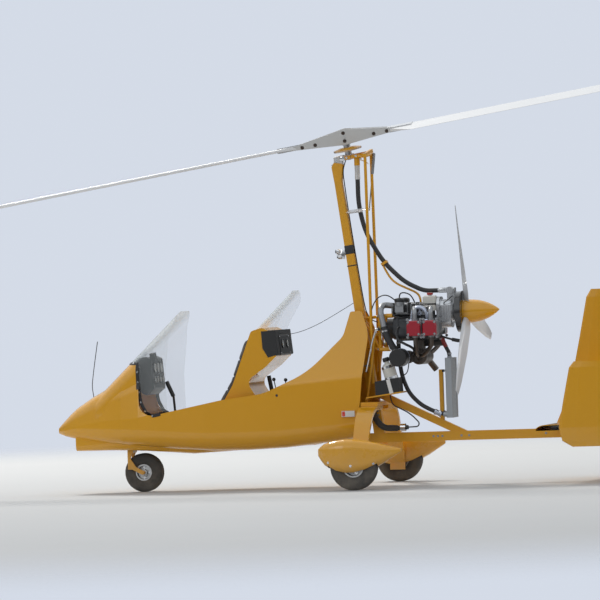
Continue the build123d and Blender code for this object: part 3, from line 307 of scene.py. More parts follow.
def woven(name, colour, deep, threads, depth):
    """Cloth or webbing: crossing threads with a soft sheen, rubbed in patches."""
    made, tree, shader, position = material(name)
    cloth = use(tree, WEAVE, {"Position": position, "Threads": threads, "Colour": rgba(colour),
                              "Deep": rgba(deep)})
    rubbed = use(tree, DRIFT, {"Position": position, "Colour": cloth.outputs["Colour"],
                               "Deep": rgba(tinted(colour, 1.6)), "Scale": 7.0, "Amount": 0.4})
    gloss = use(tree, GLOSS, {"Position": position, "Roughness": 0.82, "Spread": 0.15, "Scale": 60.0})
    shade(tree, shader, rubbed.outputs["Colour"], gloss.outputs["Roughness"], 0.5, depth,
          cloth.outputs["Height"])
    shader.inputs["Sheen Weight"].default_value = 0.3
    return made


# Finishes
GELCOAT = surface("yellow_gelcoat", YELLOW, 0.24, YELLOW_DEEP, coat=0.6, drift=0.5, spread=0.08,
                  gloss_scale=6.0, dust=0.5, dust_top=0.42)
PAINT = surface("yellow_powder_coat", YELLOW, 0.34, YELLOW_DEEP, coat=0.25, drift=0.45, spread=0.1,
                gloss_scale=90.0, dust=0.35, dust_top=0.5, wear=0.25, bare=(0.88, 0.62, 0.25), bump=0.1)
BLADES = surface("blade_white", BLADE_WHITE, 0.30, (0.70, 0.71, 0.73), coat=0.4, drift=0.5,
                 drift_scale=2.5, spread=0.12, gloss_scale=20.0, dust=0.0)
PLATES = surface("hub_grey", HUB_GREY, 0.42, (0.52, 0.515, 0.50), metallic=0.15, spread=0.15, dust=0.0,
                 wear=0.6, bare=(0.62, 0.63, 0.64), stretch=(5.0, 200.0, 200.0))
CASTING = surface("cast_aluminium", CAST_GREY, 0.48, (0.26, 0.265, 0.27), metallic=0.85, spread=0.2,
                  gloss_scale=70.0, dust=0.0, wear=0.5, bare=(0.75, 0.76, 0.77), bump=0.35,
                  bump_depth=0.0008)
MACHINED = surface("machined_aluminium", SILVER, 0.26, (0.46, 0.47, 0.49), metallic=0.7, spread=0.22,
                   dust=0.0, wear=0.4, bare=(0.85, 0.85, 0.86), stretch=(150.0, 150.0, 5.0))
RIM = surface("rim_aluminium", (0.60, 0.61, 0.62), 0.36, (0.36, 0.36, 0.36), metallic=0.85,
              spread=0.15, dust=0.35, dust_top=0.35, wear=0.4)
SPINDLE_STEEL = surface("bright_steel", STEEL, 0.28, (0.30, 0.30, 0.31), metallic=1.0, spread=0.2,
                        dust=0.0, stretch=(160.0, 160.0, 6.0))
EXHAUST = surface("exhaust_steel", (0.16, 0.14, 0.125), 0.45, (0.05, 0.04, 0.035), metallic=0.8,
                  drift=0.9, drift_scale=12.0, spread=0.3, gloss_scale=25.0, dust=0.0, bump=0.15)
ENGINE_CASE = surface("engine_casing", (0.075, 0.078, 0.083), 0.5, (0.03, 0.03, 0.032), metallic=0.5,
                      spread=0.2, gloss_scale=70.0, dust=0.0, wear=0.5, bare=(0.35, 0.35, 0.36),
                      bump=0.35, bump_depth=0.0008)
COVERS = surface("red_covers", COVER_RED, 0.32, (0.25, 0.008, 0.018), coat=0.6, spread=0.12,
                 gloss_scale=60.0, dust=0.0, wear=0.35, bare=(0.62, 0.2, 0.2), bump=0.15)
PLASTIC = surface("black_plastic", BLACK, 0.42, (0.01, 0.01, 0.01), spread=0.14, gloss_scale=180.0,
                  dust=0.2, wear=0.25, bare=(0.09, 0.09, 0.09), bump=0.25)
RUBBER = surface("hose_rubber", SOOT, 0.6, (0.02, 0.02, 0.021), spread=0.18, gloss_scale=120.0,
                 dust=0.3, bump=0.3)
TYRE = surface("tyre_rubber", (0.03, 0.03, 0.031), 0.72, (0.022, 0.022, 0.022), spread=0.2,
               gloss_scale=90.0, dust=0.55, dust_top=0.34, wear=0.3, bare=(0.10, 0.10, 0.098), bump=0.4)
TRIM = surface("seat_trim", (0.03, 0.03, 0.032), 0.8, (0.018, 0.018, 0.02), spread=0.15,
               gloss_scale=300.0, dust=0.1, bump=0.5)
BOTTLE = surface("milky_plastic", MILKY, 0.38, (0.60, 0.58, 0.50), drift=0.5, drift_scale=8.0,
                 dust=0.0, bump=0.1)
CORE = surface("radiator_alloy", RADIATOR_GREY, 0.45, (0.25, 0.27, 0.30), metallic=0.6, spread=0.2,
               dust=0.2, dust_top=0.9, stretch=(40.0, 40.0, 300.0))
PROP_SHELL = surface("propeller_composite", (0.72, 0.74, 0.77), 0.3, (0.52, 0.54, 0.57), coat=0.5,
                     drift=0.5, drift_scale=6.0, dust=0.0)
# The screens' pale tint at grazing angles is a painted reflection
SCREEN = clear_sheet("clear_screen", (0.80, 0.86, 0.88), 0.10, 0.75)
LENS = surface("lamp_glass", (0.82, 0.82, 0.80), 0.12, (0.6, 0.6, 0.6), coat=1.0, dust=0.0)
CARBON = surface("black_laminate", (0.03, 0.03, 0.032), 0.25, (0.015, 0.015, 0.016), coat=0.8,
                 dust=0.0, gloss_scale=200.0)
CLOTH = woven("seat_cloth", (0.045, 0.046, 0.05), (0.016, 0.016, 0.018), 420.0, 0.0006)
WEBBING = woven("belt_webbing", (0.06, 0.062, 0.068), (0.02, 0.02, 0.023), 700.0, 0.0004)
CHROME = surface("bright_fitting", (0.80, 0.81, 0.83), 0.16, (0.6, 0.61, 0.63), metallic=1.0,
                 spread=0.12, dust=0.0, drift=0.2)
BOLT_DARK = surface("blackened_bolt", (0.10, 0.07, 0.055), 0.4, (0.05, 0.035, 0.03), metallic=0.9,
                    spread=0.2, dust=0.0, wear=0.5, bare=(0.5, 0.5, 0.5))
CABLE = surface("black_cable", (0.014, 0.014, 0.015), 0.38, (0.008, 0.008, 0.008), spread=0.1,
                gloss_scale=150.0, dust=0.1)
WIRE_GREEN = surface("green_wire", (0.34, 0.42, 0.10), 0.4, (0.22, 0.28, 0.06), dust=0.0)
WIRE_BLUE = surface("blue_wire", (0.10, 0.16, 0.22), 0.4, (0.06, 0.10, 0.14), dust=0.0)
RED_HOSE = surface("red_hose", (0.30, 0.03, 0.03), 0.45, (0.20, 0.02, 0.02), dust=0.0, bump=0.2)
RED_CAP = surface("red_cap", (0.45, 0.035, 0.03), 0.38, (0.34, 0.02, 0.02), dust=0.0)
RED_LENS = surface("red_lens", (0.72, 0.035, 0.02), 0.12, (0.55, 0.02, 0.012), coat=1.0, dust=0.0)
GREEN_LENS = surface("green_lens", (0.03, 0.42, 0.16), 0.12, (0.02, 0.30, 0.10), coat=1.0, dust=0.0)
DIAL_FACE = surface("dial_face", (0.012, 0.012, 0.013), 0.5, (0.008, 0.008, 0.008), dust=0.0)
DIAL_MARK = surface("dial_mark", (0.82, 0.82, 0.80), 0.5, (0.70, 0.70, 0.68), dust=0.0)
COOLER = surface("anodised_pipe", (0.52, 0.56, 0.66), 0.28, (0.38, 0.42, 0.52), metallic=0.85,
                 spread=0.15, dust=0.0)

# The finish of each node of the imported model
FINISHES = {
    GELCOAT: ("hull_shell", "seat_hump", "spats", "main_legs", "stabiliser", "end_fins", "centre_fin",
              "rudder", "prop_hub"),
    PAINT: ("mast", "head_arm", "control_rods", "pinion_housing", "drive_ring", "keel", "keel_brace",
            "engine_mount", "equipment_tray", "nose_fork"),
    BLADES: ("rotor_blades",),
    PLATES: ("hub_plates", "head_frame"),
    CASTING: ("cylinders", "intake"),
    MACHINED: ("gearbox", "blade_roots"),
    RIM: ("main_rim_left", "main_rim_right", "nose_rim"),
    SPINDLE_STEEL: ("spindle", "main_axles", "steering_tube"),
    EXHAUST: ("silencer",),
    ENGINE_CASE: ("engine_block",),
    COVERS: ("valve_covers",),
    PLASTIC: ("rear_bulkhead", "seat_base", "instrument_panels", "cockpit_controls", "air_filter",
              "battery"),
    RUBBER: ("drive_hose", "coolant_hoses", "boost_hose", "brake_cylinder", "aerial"),
    TYRE: ("main_tyre_left", "main_tyre_right", "nose_tyre"),
    TRIM: ("front_seat", "rear_seat"),
    BOTTLE: ("coolant_bottle", "oil_tank"),
    CORE: ("radiator",),
    PROP_SHELL: ("prop_blades",),
    SCREEN: ("front_screen", "rear_screen"),
    LENS: ("lamps",),
    CARBON: ("drive_plate",),
}
for finish, nodes in FINISHES.items():
    for node in nodes:
        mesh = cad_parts[node].data
        mesh.materials.clear()
        mesh.materials.append(finish)


def linked(name, data):
    """Object of some data, put in the scene."""
    made = bpy.data.objects.new(name, data)
    bpy.context.scene.collection.objects.link(made)
    return made


def evaluated(made):
    """Plain mesh of an object with its modifiers applied."""
    depsgraph = bpy.context.evaluated_depsgraph_get()
    return bpy.data.meshes.new_from_object(made.evaluated_get(depsgraph))


def finished(made, finish, body=AIRFRAME):
    """Gives a piece its material and the body that it rides on."""
    made.data.materials.clear()
    made.data.materials.append(finish)
    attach(made, body)
    return made


def piece(name, shape, finish, body=AIRFRAME, angle=35.0):
    """Finished piece from a bmesh in place."""
    mesh = bpy.data.meshes.new(name)
    bmesh.ops.recalc_face_normals(shape, faces=shape.faces)
    shape.to_mesh(mesh)
    shape.free()
    mesh.shade_smooth()
    mesh.set_sharp_from_angle(angle=radians(angle))
    return finished(linked(name, mesh), finish, body)


def band(shape, low, high):
    """Joins two rings of vertices with faces; a ring of one vertex is a pole."""
    count = max(len(low), len(high))
    for step in range(count):
        after = (step + 1) % count
        corners = [low[step % len(low)], low[after % len(low)],
                   high[after % len(high)], high[step % len(high)]]
        shape.faces.new(list(dict.fromkeys(corners)))


def lathe(shape, profile, place, turns=32, closed=False):
    """Adds a surface of revolution of (radius, height) points about the Z axis of a place."""
    rings = []
    for radius, height in profile:
        angles = [2 * pi * step / turns for step in range(turns)] if radius > 1e-6 else [0.0]
        spots = [Vector((radius * cos(angle), radius * sin(angle), height)) for angle in angles]
        rings.append([shape.verts.new(place @ spot) for spot in spots])
    for low, high in zip(rings, rings[1:] + (rings[:1] if closed else [])):
        band(shape, low, high)


def collar(shape, inner, outer, half, place, turns=28):
    """Adds a plain ring about the Z axis of a place, half its width to each side."""
    lathe(shape, [(inner, -half), (outer, -half), (outer, half), (inner, half)], place, turns, True)


def raised(place, height):
    """Place moved along its own Z axis."""
    return place @ Matrix.Translation((0, 0, height))


def facing(place, aim):
    """Matrix at a place whose Z axis points along aim."""
    turn = Vector(aim).to_track_quat("Z", "Y").to_matrix().to_4x4()
    return Matrix.Translation(Vector(place)) @ turn


def bar(shape, low, high, place=Matrix(), bevel=0.002, segments=2):
    """Adds a box between two corners of a place, with rounded edges."""
    made = bmesh.ops.create_cube(shape, size=1.0)["verts"]
    low, high = Vector(low), Vector(high)
    for vert in made:
        vert.co = place @ Vector(((vert.co[i] + 0.5) * (high[i] - low[i]) + low[i] for i in range(3)))
    edges = list({edge for vert in made for edge in vert.link_edges})
    bmesh.ops.bevel(shape, geom=edges, offset=bevel, segments=segments, affect="EDGES", profile=0.5)


def slab(shape, outline, start, stop, place=Matrix()):
    """Adds an (x, z) outline pushed through from one y to another."""
    near, far = ([shape.verts.new(place @ Vector((x, y, z))) for x, z in outline]
                 for y in (start, stop))
    band(shape, near, far)
    shape.faces.new(near)
    shape.faces.new(list(reversed(far)))


def run_curve(points, radius, resolution=8, sides=3):
    """Curve data of one NURBS run with a round section."""
    curve = bpy.data.curves.new("run", "CURVE")
    curve.dimensions = "3D"
    curve.bevel_depth = radius
    curve.bevel_resolution = sides
    curve.use_fill_caps = True
    curve.resolution_u = resolution
    run = curve.splines.new("NURBS")
    run.points.add(len(points) - 1)
    for point, place in zip(run.points, points):
        point.co = (*place, 1.0)
    run.order_u = 3
    run.use_endpoint_u = True
    return curve


def tube(shape, points, radius):
    """Adds a bent round bar along points."""
    source = linked("run", run_curve(points, radius))
    mesh = evaluated(source)
    shape.from_mesh(mesh)
    bpy.data.objects.remove(source)
    bpy.data.meshes.remove(mesh)


def ribbon(shape, points, normals, width, thick, sunk=0.001):
    """Adds a flat strip with rounded edges that follows points, its face along the normals."""
    points = [Vector(point) for point in points]
    half, round_off = width / 2, thick * 0.6
    section = [(-half, -sunk), (-half, thick - round_off), (-half + round_off, thick),
               (half - round_off, thick), (half, thick - round_off), (half, -sunk)]
    rings = []
    for index, (point, normal) in enumerate(zip(points, normals)):
        ahead = points[min(index + 1, len(points) - 1)] - points[max(index - 1, 0)]
        normal = Vector(normal).normalized()
        side = normal.cross(ahead).normalized()
        rings.append([shape.verts.new(point + side * across + normal * up) for across, up in section])
    for low, high in zip(rings, rings[1:]):
        band(shape, low, high)
    shape.faces.new(list(reversed(rings[0])))
    shape.faces.new(rings[-1])


def skin(*meshes):
    """Search tree over the surfaces of some meshes."""
    places, faces = [], []
    for mesh in meshes:
        first = len(places)
        places += [vert.co.copy() for vert in mesh.vertices]
        faces += [[first + index for index in face.vertices] for face in mesh.polygons]
    return BVHTree.FromPolygons(places, faces)


def cad(*nodes):
    """Search tree over the surfaces of some CAD nodes."""
    return skin(*(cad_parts[node].data for node in nodes))


def eased(points, passes=2):
    """Points with the turns between them rounded a little; the two ends stay."""
    for _ in range(passes):
        middle = [(a + 2 * b + c) / 4 for a, b, c in zip(points, points[1:], points[2:])]
        points = [points[0]] + middle + [points[-1]]
    return points


def smooth_line(points, steps):
    """Points at even shares of a polyline's length, with its corners rounded a little."""
    points = [Vector(point) for point in points]
    lengths = [0.0]
    for before, after in zip(points, points[1:]):
        lengths.append(lengths[-1] + (after - before).length)
    result = []
    for step in range(steps + 1):
        along = lengths[-1] * step / steps
        index = max(i for i in range(len(points) - 1) if lengths[i] <= along + 1e-9)
        share = (along - lengths[index]) / (lengths[index + 1] - lengths[index])
        result.append(points[index].lerp(points[index + 1], share))
    return eased(result)


def landing(tree, start, aim, reach=10.0):
    """Where a ray meets a surface: the place and the normal on the ray's side, or nothing."""
    found, normal = tree.ray_cast(Vector(start), Vector(aim), reach)[:2]
    if found is None:
        return None
    return found, (normal if normal.dot(Vector(aim)) < 0 else -normal)


def side_line(tree, outline, side, steps):
    """An (x, z) line thrown sideways on a surface: (place, normal) pairs."""
    line = smooth_line([(x, 0.0, z) for x, z in outline], steps)
    hits = [landing(tree, (point.x, side, point.z), (0, -side, 0)) for point in line]
    return [hit for hit in hits if hit]


# Trees of Geometry Nodes for what repeats

def tree_start(name, inputs):
    """Geometry Nodes tree with its sockets; gives the tree, its input node and its end."""
    tree = bpy.data.node_groups.new(name, "GeometryNodeTree")
    tree.interface.new_socket("Geometry", in_out="INPUT", socket_type="NodeSocketGeometry")
    for label, socket in inputs + [("Finish", "NodeSocketMaterial")]:
        tree.interface.new_socket(label, in_out="INPUT", socket_type=socket)
    tree.interface.new_socket("Geometry", in_out="OUTPUT", socket_type="NodeSocketGeometry")
    return tree, tree.nodes.new("NodeGroupInput"), tree.nodes.new("NodeGroupOutput")


def tree_end(tree, given, result, geometry):
    """Realizes the instances, sets the material and joins the tree's output."""
    real = put(tree, "GeometryNodeRealizeInstances", {"Geometry": geometry})
    finish = put(tree, "GeometryNodeSetMaterial", {
        "Geometry": real.outputs[0], "Material": given.outputs["Finish"]})
    tree.links.new(finish.outputs[0], result.inputs["Geometry"])
    return tree


def fastener_tree():
    """A chamfered head on a washer at each point, standing along the point's aim."""
    tree, given, result = tree_start("Fasteners", [
        ("Head radius", FLOAT), ("Head height", FLOAT), ("Sides", INT), ("Washer radius", FLOAT)])
    height = given.outputs["Head height"]
    washer = put(tree, "GeometryNodeMeshCylinder", {
        "Vertices": 18, "Radius": given.outputs["Washer radius"],
        "Depth": sums(tree, "MULTIPLY", height, 0.5)})
    head = put(tree, "GeometryNodeMeshCone", {
        "Vertices": given.outputs["Sides"], "Radius Bottom": given.outputs["Head radius"],
        "Radius Top": sums(tree, "MULTIPLY", given.outputs["Head radius"], 0.86),
        "Depth": height})
    offset = put(tree, "ShaderNodeCombineXYZ", {"Z": sums(tree, "MULTIPLY", height, 0.2)})
    lifted = put(tree, "GeometryNodeTransform", {
        "Geometry": head.outputs["Mesh"], "Translation": offset.outputs[0]})
    both = put(tree, "GeometryNodeJoinGeometry")
    tree.links.new(washer.outputs["Mesh"], both.inputs[0])
    tree.links.new(lifted.outputs[0], both.inputs[0])
    aim = put(tree, "GeometryNodeInputNamedAttribute", {"Name": "aim"}, data_type="FLOAT_VECTOR")
    turned = put(tree, "FunctionNodeAlignRotationToVector", {"Vector": aim.outputs[0]}, axis="Z")
    placed = put(tree, "GeometryNodeInstanceOnPoints", {
        "Points": given.outputs["Geometry"], "Instance": both.outputs[0],
        "Rotation": turned.outputs[0]})
    return tree_end(tree, given, result, placed.outputs[0])


def row_tree():
    """A row of equal boxes at an even pitch, such as the fins of a radiator."""
    tree, given, result = tree_start("Row of slats", [
        ("Count", INT), ("Start", VECTOR), ("Pitch", VECTOR), ("Size", VECTOR)])
    line = put(tree, "GeometryNodeMeshLine", {
        "Count": given.outputs["Count"], "Start Location": given.outputs["Start"],
        "Offset": given.outputs["Pitch"]})
    slat = put(tree, "GeometryNodeMeshCube", {"Size": given.outputs["Size"]})
    placed = put(tree, "GeometryNodeInstanceOnPoints", {
        "Points": line.outputs[0], "Instance": slat.outputs["Mesh"]})
    return tree_end(tree, given, result, placed.outputs[0])


def ring_tree():
    """Equal boxes round a circle, each turned to face outwards, such as teeth or dial marks."""
    tree, given, result = tree_start("Ring of teeth", [
        ("Count", INT), ("Radius", FLOAT), ("Size", VECTOR)])
    circle = put(tree, "GeometryNodeMeshCircle", {
        "Vertices": given.outputs["Count"], "Radius": given.outputs["Radius"]})
    place = put(tree, "GeometryNodeInputPosition")
    turned = put(tree, "FunctionNodeAlignRotationToVector", {"Vector": place.outputs[0]}, axis="X")
    tooth = put(tree, "GeometryNodeMeshCube", {"Size": given.outputs["Size"]})
    placed = put(tree, "GeometryNodeInstanceOnPoints", {
        "Points": circle.outputs[0], "Instance": tooth.outputs["Mesh"],
        "Rotation": turned.outputs[0]})
    return tree_end(tree, given, result, placed.outputs[0])


def coil_tree():
    """A wire wound into a coil spring along Z."""
    tree, given, result = tree_start("Coil spring", [
        ("Turns", FLOAT), ("Coil radius", FLOAT), ("Length", FLOAT), ("Wire radius", FLOAT)])
    spiral = put(tree, "GeometryNodeCurveSpiral", {
        "Resolution": 18, "Rotations": given.outputs["Turns"],
        "Start Radius": given.outputs["Coil radius"], "End Radius": given.outputs["Coil radius"],
        "Height": given.outputs["Length"]})
    wire = put(tree, "GeometryNodeCurvePrimitiveCircle", {
        "Resolution": 8, "Radius": given.outputs["Wire radius"]})
    swept = put(tree, "GeometryNodeCurveToMesh", {
        "Curve": spiral.outputs[0], "Profile Curve": wire.outputs[0], "Fill Caps": True})
    return tree_end(tree, given, result, swept.outputs[0])


FASTENERS, SLATS, TEETH, COIL = fastener_tree(), row_tree(), ring_tree(), coil_tree()


def grown(name, tree, values, finish, mesh=None):
    """Plain mesh of what a tree grows with these values."""
    source = linked(name, mesh or bpy.data.meshes.new(name))
    modifier = source.modifiers.new(tree.name, "NODES")
    modifier.node_group = tree
    values = {**values, "Finish": finish}
    for socket in tree.interface.items_tree:
        if socket.in_out == "INPUT" and socket.name in values:
            modifier[socket.identifier] = values[socket.name]
    plain = evaluated(source)
    source.modifiers.remove(modifier)
    bpy.data.objects.remove(source)
    return plain


def grown_piece(name, tree, values, finish, place=Matrix(), body=AIRFRAME, mesh=None):
    """Finished piece of what a tree grows, moved to its place."""
    plain = grown(name, tree, values, finish, mesh)
    plain.transform(place)
    shape = bmesh.new()
    shape.from_mesh(plain)
    bpy.data.meshes.remove(plain)
    return piece(name, shape, finish, body, 30.0)


def fasteners(name, spots, head=0.008, height=0.006, washer=0.012, sides=6, finish=CHROME,
              slot="bare_steel", body=AIRFRAME):
    """One mesh of all the screws or bolts of a kind on a body, from (place, aim) pairs."""
    mesh = bpy.data.meshes.new(name)
    mesh.from_pydata([tuple(place) for place, aim in spots], [], [])
    aims = mesh.attributes.new("aim", "FLOAT_VECTOR", "POINT")
    aims.data.foreach_set(
        "vector", [value for place, aim in spots for value in Vector(aim).normalized()])
    grown_piece(name, FASTENERS, {"Head radius": head, "Head height": height, "Sides": sides,
                                  "Washer radius": washer}, finish, body=body, mesh=mesh)


def round_spots(count, radius, start=0.0):
    """Evenly spaced (across, up) points on a circle."""
    angles = [start + 2 * pi * step / count for step in range(count)]
    return [(radius * cos(angle), radius * sin(angle)) for angle in angles]


def in_frame(place, spots):
    """Spots drawn in a frame, placed with it."""
    turn = place.to_3x3()
    return [(place @ Vector(spot), turn @ Vector(aim)) for spot, aim in spots]


# Rotor, in the frame of its head: outside of the cheek plates, the blades' pitch and their drop
CHEEK_Y = 0.036
BLADE_PITCH = Matrix.Rotation(radians(6.5), 4, "X")
BLADE_DROP = 0.010


def rotor_details():
    """Bolts of the cheek plates, thin grey sheets past the plates' ends that paint the shade on the
    blades' cut root corners, and the caps that close the blade tips.
    """
    spots = [((x, side * CHEEK_Y, z), (0, side, 0)) for side in (-1, 1)
             for x, z in ((-0.340, -0.015), (-0.235, -0.015), (0.235, -0.015), (0.340, -0.015),
                          (0.0, 0.034), (0.0, -0.028))]
    fasteners("hub_bolts", in_frame(HEAD, spots), 0.010, 0.010, 0.014, finish=BOLT_DARK, body=ROTOR)
    # Painted shade: thin grey sheets over the blades' cut root corners stand for the shade on those
    # corners
    shape = bmesh.new()
    for end in (-1, 1):
        for side in (-1, 1):
            slab(shape, ((end * 0.352, -0.0310), (end * 0.352, 0.0105), (end * 0.545, -0.0115)),
                 side * CHEEK_Y, side * 0.0395, HEAD)
    piece("root_corner_shade_sheets", shape, PLATES, ROTOR)
    shape = bmesh.new()
    for turn in (0.0, pi):
        blade = raised(HEAD @ Matrix.Rotation(turn, 4, "Z"), -BLADE_DROP) @ BLADE_PITCH
        bar(shape, (4.092, -0.160, -0.008), (4.1125, 0.050, 0.010), blade, bevel=0.006, segments=3)
    piece("blade_tip_caps", shape, BLADES, ROTOR)


# Head and mast
MAST_AIM = (-0.1325, 0, 1)
MAST_FRONT = ((-0.089, 2.326), (0.153, 0.405))
MAST_BACK = ((-0.038, 2.355), (0.236, 0.405))


def mast_middle(height):
    """Middle of the mast's side outline at a height, along X."""
    edges = [low_x + (top_x - low_x) * (height - low_z) / (top_z - low_z)
             for (top_x, top_z), (low_x, low_z) in (MAST_FRONT, MAST_BACK)]
    return sum(edges) / 2


def head_details():
    """Pivots and screws of the head, the mast's band, the yoke plate and the lamps on the mast."""
    shape = bmesh.new()
    for side in (-1, 1):
        lathe(shape, [(0.0, 0.0), (0.020, 0.0), (0.020, 0.006), (0.012, 0.010), (0.0, 0.010)],
              HEAD @ facing((-0.050, side * 0.030, -0.157), (0, side, 0)), 28)
    lathe(shape, [(0.0, 0.0), (0.009, 0.0), (0.009, 0.012), (0.006, 0.016), (0.0, 0.016)],
          facing((-0.100, -0.012, 2.470), (-0.6, 0, 0.8)), 16)
    piece("pivot_caps", shape, CHROME)
    spots = [((x, side * 0.030, z), (0, side, 0)) for side in (-1, 1)
             for x, z in ((-0.100, -0.149), (-0.100, -0.166), (0.018, -0.149), (0.018, -0.166))]
    spots += [((x, side * 0.036, -0.157), (0, side, 0)) for side in (-1, 1)
              for x in (-0.015, 0.06, 0.13)]
    fasteners("head_screws", in_frame(HEAD, spots), 0.006, 0.005, 0.009)
    shape = bmesh.new()
    bar(shape, (-0.0325, -0.0335, -0.034), (0.0325, 0.0335, 0.034),
        facing((mast_middle(1.824), 0, 1.824), MAST_AIM), 0.003)
    bar(shape, (-0.0320, -0.0355, -0.004), (0.0320, 0.0355, 0.004),
        facing((mast_middle(1.700), 0, 1.700), MAST_AIM), 0.001)
    piece("mast_band", shape, RUBBER)
    yoke = (Matrix.Translation((0.150, 0.0, 2.550)) @ Matrix.Rotation(radians(8.0), 4, "X")
            @ Matrix.Diagonal((0.40, 1.0, 1.0, 1.0)))
    shape = bmesh.new()
    lathe(shape, [(0.0, -0.009), (0.112, -0.009), (0.124, -0.004), (0.126, 0.002), (0.118, 0.008),
                  (0.070, 0.011), (0.060, 0.016), (0.0, 0.017)], yoke, 56)
    piece("yoke_plate", shape, PAINT)
    shape = bmesh.new()
    for x, z, radius in ((-0.082, 1.812, 0.021), (-0.070, 1.770, 0.018)):
        lathe(shape, [(0.0, -0.030), (radius * 0.6, -0.030), (radius, -0.008), (radius, 0.006),
                      (radius * 0.7, 0.018), (0.0, 0.022)],
              facing((x, -0.030, z), (-0.8, -0.6, 0.1)), 24)
    bar(shape, (-0.075, -0.032, 1.752), (-0.028, -0.024, 1.826), bevel=0.002)
    piece("lamp_cluster", shape, CHROME)


# Engine: side and middle of each cylinder, and the height of the crankshaft
CYLINDERS = ((-1, 0.556), (-1, 0.680), (1, 0.506), (1, 0.630))
CRANK_Z = 1.205


def engine_fasteners():
    """Screws of the valve covers, studs of the cylinders, and bolts of flange, mount and plate."""
    def corners(across, reach, rise):
        """Four places about the end of each cylinder, facing outwards."""
        return [((x + dx, side * across, CRANK_Z + dz), (0, side, 0)) for side, x in CYLINDERS
                for dx in (-reach, reach) for dz in (-rise, rise)]

    fasteners("cover_screws", corners(0.333, 0.041, 0.046), 0.007, 0.005, 0.010)
    flange = [((0.712, across, 1.320 + up), (1, 0, 0)) for across, up in round_spots(8, 0.086, 0.3)]
    mounts = [((0.233, y, z), (-1, 0, 0)) for y in (-0.118, 0.118) for z in (1.050, 1.305)]
    fasteners("engine_bolts", corners(0.296, 0.052, 0.067) + flange + mounts, 0.007, 0.007, 0.011,
              finish=CASTING, slot="aluminium")
    plate = [((across, up, -0.036), (0, 0, -1)) for across, up in round_spots(6, 0.118)]
    fasteners("drive_plate_bolts", in_frame(PROP, plate), 0.009, 0.008, 0.013, body=PROPELLER)


def frame_bolts():
    """Bolts through the mast and the keel."""
    mast = [((mast_middle(z) + dx, side * 0.030, z), (0, side, 0))
            for z in (0.545, 0.575, 0.885, 0.925, 1.245, 1.275) for dx in (-0.018, 0.018)
            for side in (-1, 1)]
    keel = [((x, side * 0.026, 0.37), (0, side, 0)) for side in (-1, 1)
            for x in (0.62, 0.655, 0.69, 1.97, 2.02, 1.50, 0.84, 0.90)]
    fasteners("frame_bolts", mast + keel, 0.006, 0.005, 0.009, finish=CASTING)


def pinion_details():
    """Fitting round the pre-rotator's pinion, and the thin pipe beside it."""
    shape = bmesh.new()
    lathe(shape, [(0.0178, 2.362), (0.0205, 2.362), (0.0205, 2.392), (0.0190, 2.396), (0.0190, 2.440),
                  (0.0205, 2.444), (0.0205, 2.472), (0.0178, 2.472)], PINION, 32, closed=True)
    for z in (2.404, 2.418, 2.432):
        collar(shape, 0.0185, 0.0205, 0.002, raised(PINION, z), 32)
    piece("pinion_fitting", shape, PLATES)
    shape = bmesh.new()
    lathe(shape, [(0.0, 0.0), (0.009, 0.0), (0.009, 0.010), (0.005, 0.013), (0.0, 0.013)],
          facing((0.108, 0.0, 2.520), (1, 0, 0)), 20)
    tube(shape, [(0.112, 0.0, 2.512), (0.150, 0.0, 2.500), (0.176, 0.0, 2.478)], 0.0045)
    piece("pinion_pipe", shape, CHROME)


def mast_rods():
    """Gas strut and spring that hang from the head to the mast."""
    top, low = Vector((0.196, 0.112, 2.556)), Vector((0.142, 0.120, 2.120))
    length = (low - top).length
    shape = bmesh.new()
    lathe(shape, [(0.0, -0.008), (0.008, -0.008), (0.012, 0.0), (0.012, 0.152), (0.010, 0.156),
                  (0.0045, 0.158), (0.0045, length), (0.0, length)], facing(top, low - top), 20)
    piece("gas_strut", shape, CASTING)
    start, end = Vector((0.016, -0.060, 2.112)), Vector((0.138, -0.080, 2.124))
    grown_piece("trim_spring", COIL, {"Turns": 13.0, "Coil radius": 0.0125, "Length": 0.125,
                                      "Wire radius": 0.0024}, CHROME,
                facing(start, end - start))
    shape = bmesh.new()
    tube(shape, [(-0.012, -0.028, 2.110), (0.000, -0.045, 2.110), (0.020, -0.0605, 2.1125)], 0.0032)
    tube(shape, [(0.135, -0.0795, 2.1238), (0.170, -0.085, 2.130), (0.205, -0.100, 2.142)], 0.0032)
    piece("spring_ends", shape, CHROME)


